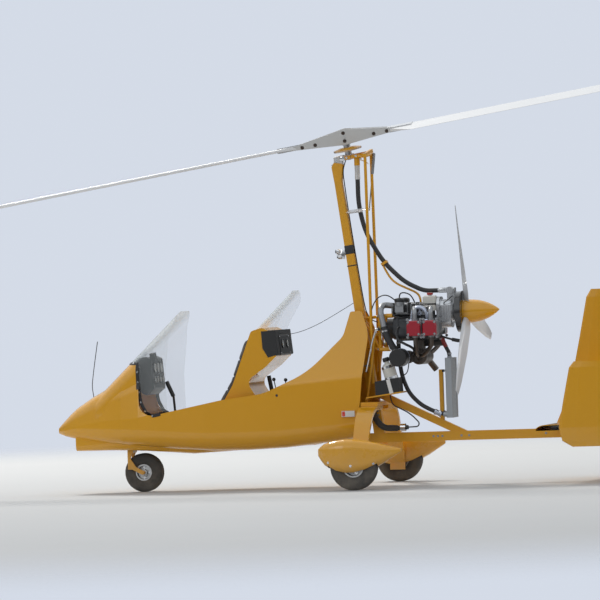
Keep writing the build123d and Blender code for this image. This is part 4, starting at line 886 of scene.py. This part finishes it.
def engine_pipes():
    """Manifold arch with its eye, intake covers, bright rods, stubs and clamps about the engine."""
    shape = bmesh.new()
    tube(shape, [(0.521, -0.205, 1.270), (0.526, -0.205, 1.325), (0.545, -0.205, 1.358),
                 (0.583, -0.205, 1.366), (0.617, -0.205, 1.352), (0.640, -0.205, 1.318),
                 (0.645, -0.205, 1.270)], 0.0165)
    collar(shape, 0.007, 0.017, 0.005, facing((0.584, -0.210, 1.318), (0, -1, 0)))
    tube(shape, [(0.584, -0.205, 1.334), (0.584, -0.205, 1.350), (0.584, -0.205, 1.362)], 0.006)
    for x in (0.521, 0.645):
        bar(shape, (x - 0.021, -0.228, 1.258), (x + 0.021, -0.182, 1.272), bevel=0.003)
    piece("manifold_arch", shape, COOLER)
    shape = bmesh.new()
    for side in (-1, 1):
        lathe(shape, [(0.0, 1.408), (0.0375, 1.408), (0.0385, 1.411), (0.0385, 1.424),
                      (0.0345, 1.434), (0.0180, 1.440), (0.0, 1.441)],
              Matrix.Translation((0.404, side * 0.098, 0)), 40)
    for x in (0.352, 0.470, 0.534):
        bar(shape, (x - 0.012, -0.0635, 1.318), (x + 0.012, 0.0635, 1.4035), bevel=0.004)
    bar(shape, (0.420, -0.078, 1.330), (0.452, -0.058, 1.386), bevel=0.004)
    bar(shape, (0.492, -0.082, 1.345), (0.516, -0.058, 1.392), bevel=0.004)
    piece("intake_covers", shape, PLASTIC)
    shape = bmesh.new()
    tube(shape, [(0.312, -0.200, 1.160), (0.330, -0.200, 1.085), (0.345, -0.200, 1.030),
                 (0.403, -0.200, 1.028)], 0.0045)
    bar(shape, (0.226, -0.202, 1.194), (0.251, -0.112, 1.216), bevel=0.003)
    tube(shape, [(0.235, -0.196, 1.205), (0.205, -0.190, 1.130), (0.180, -0.180, 1.040),
                 (0.140, -0.170, 0.882)], 0.0075)
    piece("bright_rods", shape, CHROME)
    shape = bmesh.new()
    lathe(shape, [(0.0, 0.0), (0.014, 0.0), (0.014, 0.052), (0.011, 0.062), (0.0, 0.062)],
          facing((0.807, -0.100, 1.109), (0.95, 0, -0.2)), 24)
    tube(shape, [(0.718, -0.098, 1.140), (0.760, -0.100, 1.122), (0.812, -0.100, 1.1085)], 0.008)
    piece("sensor_stub", shape, RUBBER)
    shape = bmesh.new()
    tube(shape, [(0.7165, -0.060, 1.1345), (0.728, -0.060, 1.100), (0.740, -0.060, 1.072),
                 (0.750, -0.060, 1.052)], 0.0166)
    piece("red_hose_part", shape, RED_HOSE)
    shape = bmesh.new()
    lathe(shape, [(0.016, 0.0), (0.0225, 0.0), (0.0225, 0.014), (0.0195, 0.018), (0.0195, 0.040),
                  (0.0225, 0.044), (0.0225, 0.056), (0.016, 0.056)],
          facing((0.650, -0.087, 0.5615), (0.80, 0.06, -0.40)), 36, closed=True)
    collar(shape, 0.060, 0.0705, 0.006, facing((0.431, -0.232, 0.985), (0, 1, 0)), 56)
    piece("silver_fittings", shape, COOLER)
    shape = bmesh.new()
    tube(shape, [(0.262, 0.0, 1.700), (0.296, 0.004, 1.622), (0.350, 0.012, 1.556),
                 (0.440, 0.020, 1.512), (0.522, 0.024, 1.474), (0.545, 0.024, 1.432),
                 (0.545, 0.024, 1.392)], 0.0085)
    for low, high in (((-0.024, -0.0245, -0.010), (0.024, -0.0185, 0.010)),
                      ((-0.024, 0.0185, -0.010), (0.024, 0.0245, 0.010)),
                      ((-0.026, -0.0245, -0.010), (-0.0195, 0.0245, 0.010))):
        bar(shape, low, high, facing((0.276, 0.0, 1.712), (0.42, 0, -0.72)), 0.002)
    piece("hose_stay", shape, PAINT)
    shape = bmesh.new()
    collar(shape, 0.0255, 0.030, 0.020, facing((0.392, -0.058, 0.446), (1, 0, 0)))
    piece("brake_clamp", shape, CHROME)


def lead(name, diameter, points, finish=CABLE):
    """Cable, wire or hose that goes back into the machine."""
    curve = run_curve(points, diameter / 2, resolution=10, sides=4)
    made = finished(linked(name, curve), finish)


def leads():
    """Cables, wires and leads about the mast, the cockpit and the engine."""
    lead("throttle_cable", 0.009, [
        (0.187, -0.119, 1.352), (0.212, -0.120, 1.430), (0.290, -0.120, 1.474),
        (0.362, -0.116, 1.440), (0.392, -0.106, 1.398)])
    lead("mast_cable", 0.008, [
        (0.012, 0.0, 2.552), (-0.014, 0.004, 2.490), (-0.030, 0.006, 2.425), (-0.020, 0.006, 2.330),
        (0.003, 0.006, 2.130), (0.038, 0.006, 1.860), (0.0735, 0.006, 1.610), (0.100, 0.006, 1.420),
        (0.128, 0.004, 1.300), (0.200, 0.0, 1.252), (0.312, 0.0, 1.250)])
    lead("intercom_cord", 0.0045, [
        (-0.560, -0.120, 1.200), (-0.500, -0.090, 1.188), (-0.420, -0.060, 1.196),
        (-0.300, -0.030, 1.238), (-0.156, 0.0, 1.312), (0.020, 0.0, 1.412)])
    lead("vent_hose", 0.010, [
        (0.404, -0.098, 1.432), (0.404, -0.100, 1.474), (0.450, -0.110, 1.482),
        (0.506, -0.105, 1.456), (0.520, -0.080, 1.400)])
    lead("starter_lead", 0.012, [
        (0.350, -0.060, 1.320), (0.350, -0.135, 1.318), (0.385, -0.165, 1.292),
        (0.440, -0.165, 1.286), (0.470, -0.120, 1.290)])
    lead("turbo_oil_hose", 0.020, [
        (0.405, -0.150, 1.215), (0.396, -0.215, 1.196), (0.408, -0.250, 1.125),
        (0.468, -0.256, 1.088), (0.528, -0.238, 1.058), (0.528, -0.165, 1.024),
        (0.492, -0.128, 1.004)], RUBBER)
    lead("gearbox_lead", 0.008, [
        (0.745, -0.060, 1.376), (0.748, -0.100, 1.392), (0.778, -0.108, 1.406),
        (0.806, -0.080, 1.436), (0.806, -0.034, 1.442)])
    lead("turbo_drain_line", 0.008, [
        (0.462, -0.100, 0.938), (0.458, -0.102, 0.896), (0.442, -0.112, 0.852),
        (0.402, -0.140, 0.833)])
    lead("sensor_wire_green", 0.0055, [
        (0.253, -0.150, 1.230), (0.272, -0.154, 1.196), (0.288, -0.154, 1.152),
        (0.296, -0.150, 1.083)], WIRE_GREEN)
    lead("sensor_wire_blue", 0.0055, [
        (0.243, -0.150, 1.226), (0.262, -0.156, 1.190), (0.276, -0.156, 1.148),
        (0.282, -0.152, 1.083)], WIRE_BLUE)
    for number, (side, x) in enumerate(CYLINDERS, 1):
        lead("ignition_lead_%d" % number, 0.0085, [
            (x + 0.012, side * 0.262, 1.278), (x + 0.012, side * 0.262, 1.330),
            (x - 0.010, side * 0.205, 1.372), (0.560, side * 0.120, 1.392),
            (0.530, side * 0.075, 1.392)])


# Cockpits: the foot of the front screen, as an (x, z) line
SCREEN_EDGE = ((-1.418, 0.622), (-1.480, 0.603), (-1.536, 0.592), (-1.592, 0.618), (-1.632, 0.700),
               (-1.650, 0.820), (-1.655, 1.000))


def screen_trim():
    """Trim strip round the foot of the front screen, with its screws."""
    tree = cad("front_screen", "hull_shell")
    thick = 0.004
    shape, screws, ends = bmesh.new(), [], []
    for side in (-1, 1):
        line = side_line(tree, SCREEN_EDGE, side, 44)
        ribbon(shape, *zip(*line), 0.026, thick)
        screws += line[2::6]
        ends.append(line[-1][0])
    middle = Vector((-1.46, 0.0, 1.0))
    reach = abs((ends[0] - middle).to_2d().angle_signed(Vector((-1, 0))))
    line = []
    for step in range(41):
        around = pi + reach * (1 - 2 * step / 40)
        out = Vector((cos(around), sin(around), 0.0))
        line.append(landing(tree, middle + out * 0.9, -out))
    line = [hit for hit in line if hit]
    ribbon(shape, *zip(*line), 0.024, thick)
    screws += line[3::5]
    piece("screen_trim", shape, PLASTIC)
    fasteners("screen_screws", [(place + normal * thick, normal) for place, normal in screws],
              0.0055, 0.003, 0.007, 12)


# Instrument panels: top and foot of the face, half the spread of its screws, and the dials as
# (place across, share of the way down, radius)
PANELS = (
    ((-1.562, 0, 1.030), (-1.545, 0, 0.800), 0.155,
     ((-0.092, 0.30, 0.044), (0.0, 0.30, 0.044), (0.092, 0.30, 0.044), (-0.115, 0.70, 0.029),
      (-0.040, 0.70, 0.029), (0.040, 0.70, 0.029), (0.115, 0.70, 0.029))),
    ((-0.542, 0, 1.186), (-0.526, 0, 1.034), 0.145,
     ((-0.075, 0.45, 0.034), (0.075, 0.45, 0.034))),
)


def dials():
    """Instruments of both panels: bezels, blank faces, marks, pointers, glass and screws."""
    rims, faces, glass, marks, screws = bmesh.new(), bmesh.new(), bmesh.new(), bmesh.new(), []
    pointer = 0.9
    for top, foot, half, layout in PANELS:
        top, down = Vector(top), Vector(foot) - Vector(top)
        normal = Vector((-down.z, 0, down.x)).normalized()
        for y, share, radius in layout:
            place = facing(top + down * share + Vector((0, y, 0)), normal)
            lathe(rims, [(radius * 0.86, 0.0), (radius * 1.08, 0.0), (radius * 1.08, 0.004),
                         (radius * 0.98, 0.008), (radius * 0.86, 0.007)], place, 40, closed=True)
            for sheet, high, low in ((faces, 0.0012, 0.0002), (glass, 0.0055, 0.0045)):
                lathe(sheet, [(0.0, high), (radius * 0.88, high), (radius * 0.88, low), (0.0, low)],
                      place, 32)
            ticks = grown("dial_ticks", TEETH, {
                "Count": 24, "Radius": radius * 0.72,
                "Size": (radius * 0.14, radius * 0.035, 0.0006)}, DIAL_MARK)
            ticks.transform(raised(place, 0.0016))
            marks.from_mesh(ticks)
            bpy.data.meshes.remove(ticks)
            pointer += 0.8
            bar(marks, (-radius * 0.10, -radius * 0.03, 0.0024),
                (radius * 0.62, radius * 0.03, 0.0030),
                place @ Matrix.Rotation(pointer, 4, "Z"), 0.0002, 1)
        screws += [(top + down * share + Vector((0, side * half, 0)), normal)
                   for share in (0.08, 0.92) for side in (-1, 1)]
    piece("dial_bezels", rims, PLASTIC)
    piece("dial_faces", faces, DIAL_FACE)
    piece("dial_marks", marks, DIAL_MARK)
    piece("dial_glass", glass, SCREEN)
    fasteners("panel_screws", screws, 0.004, 0.003, 0.0055, 12)


def cockpit_fittings():
    """Boots of the sticks, and the unit on its arm by the front panel."""
    shape = bmesh.new()
    for foot, head in (((-1.4075, 0, 0.334), (-1.439, 0, 0.740)),
                       ((-0.6405, 0, 0.334), (-0.652, 0, 0.760))):
        aim = Vector(head) - Vector(foot)
        profile = [(0.0, 0.0), (0.052, 0.0)]
        for fold in range(5):
            share = fold / 5
            profile += [(0.050 - 0.030 * share, 0.006 + 0.078 * share),
                        (0.042 - 0.028 * share, 0.014 + 0.078 * share)]
        profile += [(0.016, 0.088), (0.0, 0.088)]
        lathe(shape, profile, facing(foot, aim), 32)
    piece("stick_boots", shape, RUBBER)
    shape = bmesh.new()
    place = facing((-1.556, -0.115, 1.036), (0.97, 0.10, 0.24))
    bar(shape, (-0.050, -0.036, -0.013), (0.050, 0.036, 0.013), place, 0.006, 3)
    tube(shape, [(-1.572, -0.110, 1.020), (-1.590, -0.104, 1.006), (-1.590, -0.100, 0.985)], 0.007)
    piece("panel_unit", shape, PLASTIC)
    shape = bmesh.new()
    bar(shape, (-0.041, -0.028, 0.0128), (0.041, 0.028, 0.0142), place, 0.0005, 1)
    piece("panel_unit_glass", shape, DIAL_FACE)


POD_SIDE = ((-0.664, 1.222), (-0.548, 1.226), (-0.5455, 1.187), (-0.5295, 1.034), (-0.612, 1.012),
            (-0.656, 1.085))


def rear_pod():
    """Black hood about the rear instruments, wrapped over the end of the seat hump."""
    tree = cad("seat_hump")
    reach = max(abs(tree.ray_cast(Vector((-0.62, side, 1.10)), Vector((0, -side, 0)))[0].y)
                for side in (-1, 1)) + 0.003
    shape = bmesh.new()
    slab(shape, POD_SIDE, -reach, reach)
    bmesh.ops.bevel(shape, geom=list(shape.edges), offset=0.0035, segments=2, affect="EDGES")
    piece("rear_pod", shape, PLASTIC)


# Cushions: lines under the front and rear pans and backs, the remesh's voxel, the swelling, and
# the seams pressed in, each as wide as it is deep
FRONT_PAN = ((-1.392, 0.440), (-1.300, 0.416), (-1.200, 0.404), (-1.104, 0.410))
FRONT_BACK = ((-1.062, 0.548), (-0.985, 0.680), (-0.895, 0.822), (-0.828, 1.000), (-0.768, 1.160))
REAR_PAN = ((-0.545, 0.600), (-0.440, 0.580), (-0.320, 0.570), (-0.116, 0.572))
REAR_BACK = ((-0.076, 0.612), (-0.062, 0.740), (-0.045, 0.900), (-0.028, 1.078))
VOXEL = 0.006
CLOTH_PRESSURE = 4.0
CLOTH_FRAMES = 20
SEAMS = (0.007, 0.0022)


class Spine:
    """Middle line of a cushion in the XZ plane: place and normal at a length along it."""

    def __init__(self, points):
        """Line through (x, z) points."""
        self.points = [Vector((x, 0.0, z)) for x, z in points]
        self.starts = [0.0]
        for before, after in zip(self.points, self.points[1:]):
            self.starts.append(self.starts[-1] + (after - before).length)
        self.length = self.starts[-1]

    def at(self, along):
        """Place and normal at a length along the line."""
        along = min(max(along, 0.0), self.length)
        index = max(i for i in range(len(self.points) - 1) if self.starts[i] <= along + 1e-9)
        run = self.points[index + 1] - self.points[index]
        share = (along - self.starts[index]) / run.length
        ahead = self.direction(along)
        return self.points[index] + run * share, Vector((-ahead.z, 0.0, ahead.x))

    def direction(self, along):
        """Direction of the line, turned evenly from run to run."""
        middles = [(a + b) / 2 for a, b in zip(self.starts, self.starts[1:])]
        runs = [(b - a).normalized() for a, b in zip(self.points, self.points[1:])]
        if along <= middles[0]:
            return runs[0]
        for index in range(len(runs) - 1):
            if along <= middles[index + 1]:
                share = (along - middles[index]) / (middles[index + 1] - middles[index])
                return runs[index].lerp(runs[index + 1], share).normalized()
        return runs[-1]

    def locate(self, place):
        """Length along the line of the nearest point."""
        best, result = 1e9, 0.0
        for index, (a, b) in enumerate(zip(self.points, self.points[1:])):
            run = b - a
            flat = Vector((place.x, 0.0, place.z)) - a
            share = min(max(flat.dot(run) / run.length_squared, 0.0), 1.0)
            gap = (flat - run * share).length
            if gap < best:
                best, result = gap, self.starts[index] + share * run.length
        return result


def pad_mesh(spine, half, thick, steps=(30, 36)):
    """Closed pad over a spine: flat underneath, rounded at the rim and crowned on top."""
    shape = bmesh.new()
    sheets = []
    for top in (True, False):
        rows = []
        for i in range(steps[0] + 1):
            u = 2 * i / steps[0] - 1
            place, normal = spine.at(spine.length * i / steps[0])
            row = []
            for j in range(steps[1] + 1):
                v = 2 * j / steps[1] - 1
                rim = ((1 - u ** 6) * (1 - v ** 6)) ** 0.4
                rise = thick * (0.5 + 0.5 * rim) if top else 0.0
                across = half * v * (1 - 0.02 * (1 - u * u))
                row.append(shape.verts.new(place + normal * rise + Vector((0, across, 0))))
            rows.append(row)
        sheets.append(rows)
        for low, high in zip(rows, rows[1:]):
            for a, b, c, d in zip(low, low[1:], high[1:], high):
                shape.faces.new([a, b, c, d] if top else [d, c, b, a])
    outer, inner = (rows[0] + [row[-1] for row in rows[1:]] + rows[-1][-2::-1]
                    + [row[0] for row in rows[-2:0:-1]] for rows in sheets)
    for step in range(len(outer)):
        after = (step + 1) % len(outer)
        shape.faces.new([outer[step], inner[step], inner[after], outer[after]])
    bmesh.ops.recalc_face_normals(shape, faces=shape.faces)
    mesh = bpy.data.meshes.new("pad")
    shape.to_mesh(mesh)
    shape.free()
    return mesh


def applied(made, kind, **settings):
    """Applies one modifier to an object's mesh."""
    modifier = made.modifiers.new(kind, kind)
    for name, value in settings.items():
        setattr(modifier, name, value)
    mesh = evaluated(made)
    made.modifiers.clear()
    made.data = mesh


def swollen(made, spine, thick, limit):
    """Swells a pad's top as cloth under pressure, by no more than the limit."""
    cloth = made.modifiers.new("swell", "CLOTH").settings
    cloth.use_pressure = True
    cloth.uniform_pressure_force = CLOTH_PRESSURE
    cloth.effector_weights.gravity = 0.0
    cloth.quality = 5
    for number in range(1, CLOTH_FRAMES + 1):
        bpy.context.scene.frame_set(number)
    blown = evaluated(made)
    made.modifiers.clear()
    for vert, after in zip(made.data.vertices, blown.vertices):
        move = after.co - vert.co
        place, normal = spine.at(spine.locate(vert.co))
        rise = (vert.co - place).dot(normal) / thick
        if move.length > limit:
            move *= limit / move.length
        vert.co += move * min(max(rise * 1.6, 0.0), 1.0)
    bpy.data.meshes.remove(blown)
    bpy.context.scene.frame_set(1)


def cushion(name, points, half, thick, limit, channels, node):
    """Cushion: pad, voxel remesh, cloth under pressure, subdivision and pressed-in seams."""
    spine = Spine(points)
    made = linked(name, pad_mesh(spine, half, thick))
    applied(made, "REMESH", mode="VOXEL", voxel_size=VOXEL)
    swollen(made, spine, thick, limit)
    applied(made, "SUBSURF", levels=1, render_levels=1)
    lengthways, crossways = channels
    for vert in made.data.vertices:
        along = spine.locate(vert.co)
        place, normal = spine.at(along)
        if (vert.co - place).dot(normal) / thick > 0.45:
            near = min([abs(vert.co.y - y) for y in lengthways]
                       + [abs(along - share * spine.length) for share in crossways])
            for seam in SEAMS:
                vert.co -= normal * seam * exp(-(near / seam) ** 2)
    made.data.shade_smooth()
    finished(made, CLOTH)
    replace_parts(made, node)
    return made


def belt(shape, tree, route, lift=0.001, width=0.045, thick=0.0028):
    """Webbing laid over the cushions: route points are dropped on them along a direction."""
    places, normals = [], []
    for point, toward in route:
        toward = Vector(toward).normalized()
        found, normal = landing(tree, Vector(point) - toward * 0.25, toward, 0.6) or (
            Vector(point), -toward)
        places.append(found - toward * lift)
        normals.append((normal - toward).normalized())
    ribbon(shape, eased(places), normals, width, thick, sunk=0.0)


def seats():
    """Cushions of both seats, the front shell, and the belts with their buckles."""
    cushions = [
        cushion("front_cushion", FRONT_PAN, 0.200, 0.048, 0.010, ((-0.085, 0.085), (0.5,)),
                "front_seat"),
        cushion("front_back_cushion", FRONT_BACK, 0.196, 0.034, 0.010,
                ((-0.085, 0.085), (0.18, 0.36, 0.54, 0.74)), "front_seat"),
        cushion("rear_cushion", REAR_PAN, 0.200, 0.036, 0.010, ((-0.085, 0.085), (0.33, 0.66)),
                "rear_seat"),
        cushion("rear_back_cushion", REAR_BACK, 0.176, 0.034, 0.008,
                ((-0.080, 0.080), (0.25, 0.5, 0.75)), "rear_seat"),
    ]
    shape = bmesh.new()
    bar(shape, (-1.398, -0.198, 0.338), (-1.094, 0.198, 0.402), bevel=0.012, segments=3)
    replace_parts(piece("front_seat_shell", shape, PLASTIC), "front_seat")
    tree = skin(*(made.data for made in cushions))
    webbing, metal = bmesh.new(), bmesh.new()
    for back, pan in ((FRONT_BACK, FRONT_PAN), (REAR_BACK, REAR_PAN)):
        spine, seat = Spine(back), Spine(pan)
        for side in (-1, 1):
            route = []
            for step in range(25):
                share = 1 - step / 24
                place, normal = spine.at(spine.length * (0.12 + 0.86 * share))
                spread = 0.030 + 0.062 * share ** 0.7
                route.append((place + Vector((0, side * spread, 0)), -normal))
            belt(webbing, tree, route)
            route = []
            for step in range(13):
                place, normal = seat.at(seat.length * (0.92 - 0.20 * (1 - step / 12)))
                route.append((place + Vector((0, side * (0.190 - 0.165 * step / 12), 0)), -normal))
            belt(webbing, tree, route, lift=0.003)
        place, normal = seat.at(seat.length * 0.92)
        buckle = facing(tree.ray_cast(place + normal * 0.2, -normal)[0] + normal * 0.010, normal)
        lathe(metal, [(0.0, -0.010), (0.030, -0.010), (0.032, -0.004), (0.032, 0.004),
                      (0.026, 0.009), (0.0, 0.010)], buckle, 36)
        for side in (-1, 1):
            bar(metal, (side * 0.030 - 0.012, -0.022, -0.006), (side * 0.030 + 0.012, 0.022, 0.002),
                buckle, 0.002)
    piece("harness_webbing", webbing, WEBBING)
    piece("harness_buckles", metal, CHROME)


# Wheels, lamps, radiator, tank and battery
def tyre(node, body, outer, rim, half, grooves):
    """Tyre with round shoulders and grooves all round, in place of the plain one."""
    low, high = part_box(node)
    side = [(rim, 0.70 * half), (rim + 0.006, 0.80 * half), (rim + 0.35 * (outer - rim), 0.97 * half),
            (rim + 0.52 * (outer - rim), half), (rim + 0.70 * (outer - rim), 0.98 * half),
            (outer - 0.014, 0.90 * half), (outer - 0.006, 0.80 * half), (outer, 0.62 * half)]
    tread = []
    for middle in sorted(grooves, reverse=True):
        tread += [(outer, middle + 0.0035), (outer - 0.005, middle + 0.0022),
                  (outer - 0.005, middle - 0.0022), (outer, middle - 0.0035)]
    profile = side + tread + [(radius, -height) for radius, height in reversed(side)]
    shape = bmesh.new()
    lathe(shape, profile, facing((low + high) / 2, (0, 1, 0)), 96, closed=True)
    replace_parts(piece(node + "_tread", shape, TYRE, body, 28.0), node)


def rim_bolts(name, rim, body, count, radius, **sizes):
    """Bolts round both faces of a wheel's rim."""
    low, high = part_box(rim)
    middle = (low + high) / 2
    spots = [(middle + Vector((across, face * 0.006, up)), (0, face, 0))
             for across, up in round_spots(count, radius) for face in (-1, 1)]
    fasteners(name, spots, body=body, **sizes)


def wheels():
    """Treads and rim bolts of the two main wheels and the nose wheel."""
    for side in ("left", "right"):
        wheel = "main_wheel_" + side
        tyre("main_tyre_" + side, wheel, 0.180, 0.082, 0.052, (-0.018, 0.0, 0.018))
        rim_bolts("rim_bolts_" + side, "main_rim_" + side, wheel, 5, 0.050)
    tyre("nose_tyre", NOSE_WHEEL, 0.150, 0.064, 0.044, (-0.014, 0.0, 0.014))
    rim_bolts("nose_rim_bolts", "nose_rim", NOSE_WHEEL, 4, 0.040, head=0.006, washer=0.009)


def lamps():
    """Coloured fronts of the side lamps, red to port and green to starboard."""
    for name, side, finish in (("port_lens", -1, RED_LENS), ("starboard_lens", 1, GREEN_LENS)):
        shape = bmesh.new()
        low, high = sorted((side * 0.285, side * 0.3195))
        bar(shape, (-0.0315, low, 0.5435), (0.002, high, 0.5915), bevel=0.010, segments=4)
        piece(name, shape, finish)


def service_parts():
    """Radiator fins, caps, bands and strap of tanks and battery, clamps, coupling and clips."""
    grown_piece("radiator_fins", SLATS, {
        "Count": 43, "Start": (0.770, 0.0, 0.530), "Pitch": (0.0, 0.0, 0.010),
        "Size": (0.041, 0.157, 0.0016)}, RIM)
    shape = bmesh.new()
    lathe(shape, [(0.0, 1.4735), (0.0215, 1.4735), (0.0235, 1.470), (0.0235, 1.458), (0.0215, 1.4555),
                  (0.0, 1.4555)], Matrix.Translation((0.634, -0.045, 0)), 40)
    piece("bottle_cap", shape, RED_CAP)
    shape = bmesh.new()
    bar(shape, (0.5785, -0.0845, 1.378), (0.6895, -0.0055, 1.392), bevel=0.004)
    piece("bottle_band", shape, RUBBER)
    tank = facing((0.352, -0.185, 0.790), (-0.047, 0, 0.170))
    shape = bmesh.new()
    for height in (0.040, 0.128):
        collar(shape, 0.0495, 0.0515, 0.010, raised(tank, height), 48)
    piece("tank_bands", shape, CHROME)
    shape = bmesh.new()
    lathe(shape, [(0.0, 0.172), (0.024, 0.172), (0.026, 0.176), (0.026, 0.198), (0.022, 0.204),
                  (0.0, 0.204)], tank, 36)
    piece("tank_cap", shape, PLASTIC)
    shape = bmesh.new()
    ribbon(shape, [(0.326, -0.2505, 0.820), (0.334, -0.2505, 0.785), (0.345, -0.2505, 0.740),
                   (0.352, -0.2505, 0.712)], [(0, -1, 0)] * 4, 0.030, 0.0025)
    piece("battery_strap", shape, DIAL_MARK)
    shape = bmesh.new()
    for place, aim, radius in (
            ((0.716, -0.060, 1.118), (0.1, 0, -1), 0.0150),
            ((0.773, -0.060, 1.000), (0.1, 0, -1), 0.0150),
            ((0.385, -0.090, 1.095), (0, 0, -1), 0.0160),
            ((0.690, -0.084, 0.551), (1, 0, -0.35), 0.0160),
            ((0.404, -0.186, 1.014), (0, 0, 1), 0.0270),
            ((0.300, -0.176, 1.190), (0.2, 0, -1), 0.0270)):
        collar(shape, radius - 0.0005, radius + 0.0025, 0.0065, facing(place, aim), 40)
    piece("hose_clamps", shape, CHROME)
    shape = bmesh.new()
    bar(shape, (0.700, -0.034, 1.4675), (0.764, 0.034, 1.5095), bevel=0.006, segments=3)
    piece("drive_coupling", shape, MACHINED)
    shape = bmesh.new()
    for z in (0.870, 0.553):
        bar(shape, (0.700, -0.018, z - 0.010), (0.716, 0.018, z + 0.010), bevel=0.003)
    piece("post_clips", shape, RUBBER)


def propeller_parts():
    """Spinner, and the teeth of the drive plate and of the rotor's ring."""
    grown_piece("plate_teeth", TEETH, {
        "Count": 90, "Radius": 0.1580, "Size": (0.005, 0.0052, 0.0055)}, CARBON,
        raised(PROP, -0.033), PROPELLER)
    shape = bmesh.new()
    lathe(shape, [(0.0, -0.030), (0.088, -0.030), (0.0900, -0.028), (0.0900, -0.0165),
                  (0.0885, -0.0155), (0.0885, -0.0135), (0.0900, -0.0125), (0.0900, 0.020),
                  (0.0880, 0.055), (0.0820, 0.093), (0.0720, 0.130), (0.0580, 0.165),
                  (0.0410, 0.197), (0.0230, 0.224), (0.0080, 0.242), (0.0025, 0.2475),
                  (0.0, 0.2485)], PROP, 72)
    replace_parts(piece("spinner", shape, GELCOAT, PROPELLER), "prop_hub")
    grown_piece("ring_teeth", TEETH, {
        "Count": 72, "Radius": 0.1075, "Size": (0.004, 0.0048, 0.0105)}, MACHINED,
        raised(HEAD, -0.100), ROTOR_HUB)


def side_spots(node, outline):
    """Where (x, z) points land on both sides of a node, with the surface's normals."""
    tree = cad(node)
    hits = [landing(tree, (x, side * 1.2, z), (0, -side, 0)) for side in (-1, 1) for x, z in outline]
    return [hit for hit in hits if hit]


def hull_fasteners():
    """Plugs in the hull's sides and screws of the spats."""
    fasteners("hull_plugs", side_spots("hull_shell", ((-0.534, 0.724),)), 0.007, 0.003, 0.010, 18,
              RUBBER, "black_rubber")
    fasteners("spat_screws", side_spots("spats", ((0.157, 0.187), (-0.02, 0.215), (0.33, 0.20))),
              0.0065, 0.004, 0.010, 12)


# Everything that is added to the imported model
rotor_details()
head_details()
engine_fasteners()
frame_bolts()
pinion_details()
mast_rods()
engine_pipes()
leads()
screen_trim()
dials()
cockpit_fittings()
rear_pod()
seats()
wheels()
lamps()
service_parts()
propeller_parts()
hull_fasteners()


def studio():
    """Pale floor that fades into the background, the lamps, the world and the camera."""
    scene = bpy.context.scene
    made, tree, shader, position = material("pale_floor")
    toned = use(tree, DRIFT, {"Position": position, "Colour": rgba(FLOOR_COLOUR),
                              "Deep": rgba((0.54, 0.55, 0.555)), "Scale": 0.8, "Amount": 0.3})
    reach = put(tree, "ShaderNodeVectorMath", {0: position}, operation="LENGTH")
    fade = ranged(tree, reach.outputs["Value"], FLOOR_FADE, FLOOR_R - 0.5, 1.0, 0.0,
                  interpolation_type="SMOOTHSTEP")
    tree.links.new(toned.outputs["Colour"], shader.inputs["Base Color"])
    tree.links.new(fade, shader.inputs["Alpha"])
    shader.inputs["Roughness"].default_value = 0.9
    shape = bmesh.new()
    bmesh.ops.create_circle(shape, cap_ends=True, segments=96, radius=FLOOR_R)
    mesh = bpy.data.meshes.new("floor")
    shape.to_mesh(mesh)
    shape.free()
    mesh.materials.append(made)
    linked("floor", mesh)

    world = bpy.data.worlds.new("studio")
    scene.world = world
    world.use_nodes = True
    sky = world.node_tree
    sky.nodes.clear()
    direction = put(sky, "ShaderNodeTexCoord").outputs["Generated"]
    height = put(sky, "ShaderNodeSeparateXYZ", {0: direction}).outputs["Z"]
    room = put(sky, "ShaderNodeBackground", {
        "Color": (0.93, 0.96, 1.0, 1.0), "Strength": ranged(sky, height, -0.1, 0.9, 0.28, 0.66)})
    mirrored = put(sky, "ShaderNodeBackground", {
        "Color": (0.90, 0.95, 1.0, 1.0),
        "Strength": ranged(sky, height, -0.02, 0.45, 0.10, 0.95, interpolation_type="SMOOTHSTEP")})
    pale = put(sky, "ShaderNodeBackground", {"Color": rgba(BACKGROUND), "Strength": 1.0})
    ray = put(sky, "ShaderNodeLightPath").outputs
    seen = sums(sky, "MAXIMUM", ray["Is Camera Ray"], ray["Is Transmission Ray"])
    lit = put(sky, "ShaderNodeMixShader", {
        0: ray["Is Glossy Ray"], 1: room.outputs[0], 2: mirrored.outputs[0]})
    both = put(sky, "ShaderNodeMixShader", {0: seen, 1: lit.outputs[0], 2: pale.outputs[0]})
    put(sky, "ShaderNodeOutputWorld", {"Surface": both.outputs[0]})

    lights = (
        ("key", (-9.0, 10.0, 15.0), 5.0, 2500.0, (1.0, 0.97, 0.92)),
        ("fill", (-8.0, -16.0, 7.0), 9.0, 330.0, (0.96, 0.98, 1.0)),
        ("back", (14.0, 6.0, 8.0), 6.0, 260.0, (1.0, 0.98, 0.95)),
    )
    for name, place, size, power, tint in lights:
        light = bpy.data.lights.new(name, "AREA")
        light.shape = "DISK"
        light.size = size
        light.energy = power
        light.color = tint
        lamp = linked(name, light)
        lamp.location = place
        aim = Vector(LIT_MIDDLE) - Vector(place)
        lamp.rotation_euler = aim.to_track_quat("-Z", "Y").to_euler()

    lens = bpy.data.cameras.new("camera")
    lens.lens = CAMERA_LENS
    lens.sensor_width = 36.0
    lens.shift_x, lens.shift_y = CAMERA_SHIFT
    lens.clip_end = 200.0
    camera = linked("camera", lens)
    turn = (Matrix.Rotation(CAMERA_BEARING, 4, "Z") @ Matrix.Rotation(pi / 2, 4, "X")
            @ Matrix.Rotation(CAMERA_ROLL, 4, "Z"))
    camera.matrix_world = Matrix.Translation(CAMERA_PLACE) @ turn
    scene.camera = camera
    scene.view_settings.view_transform = "Standard"


studio()
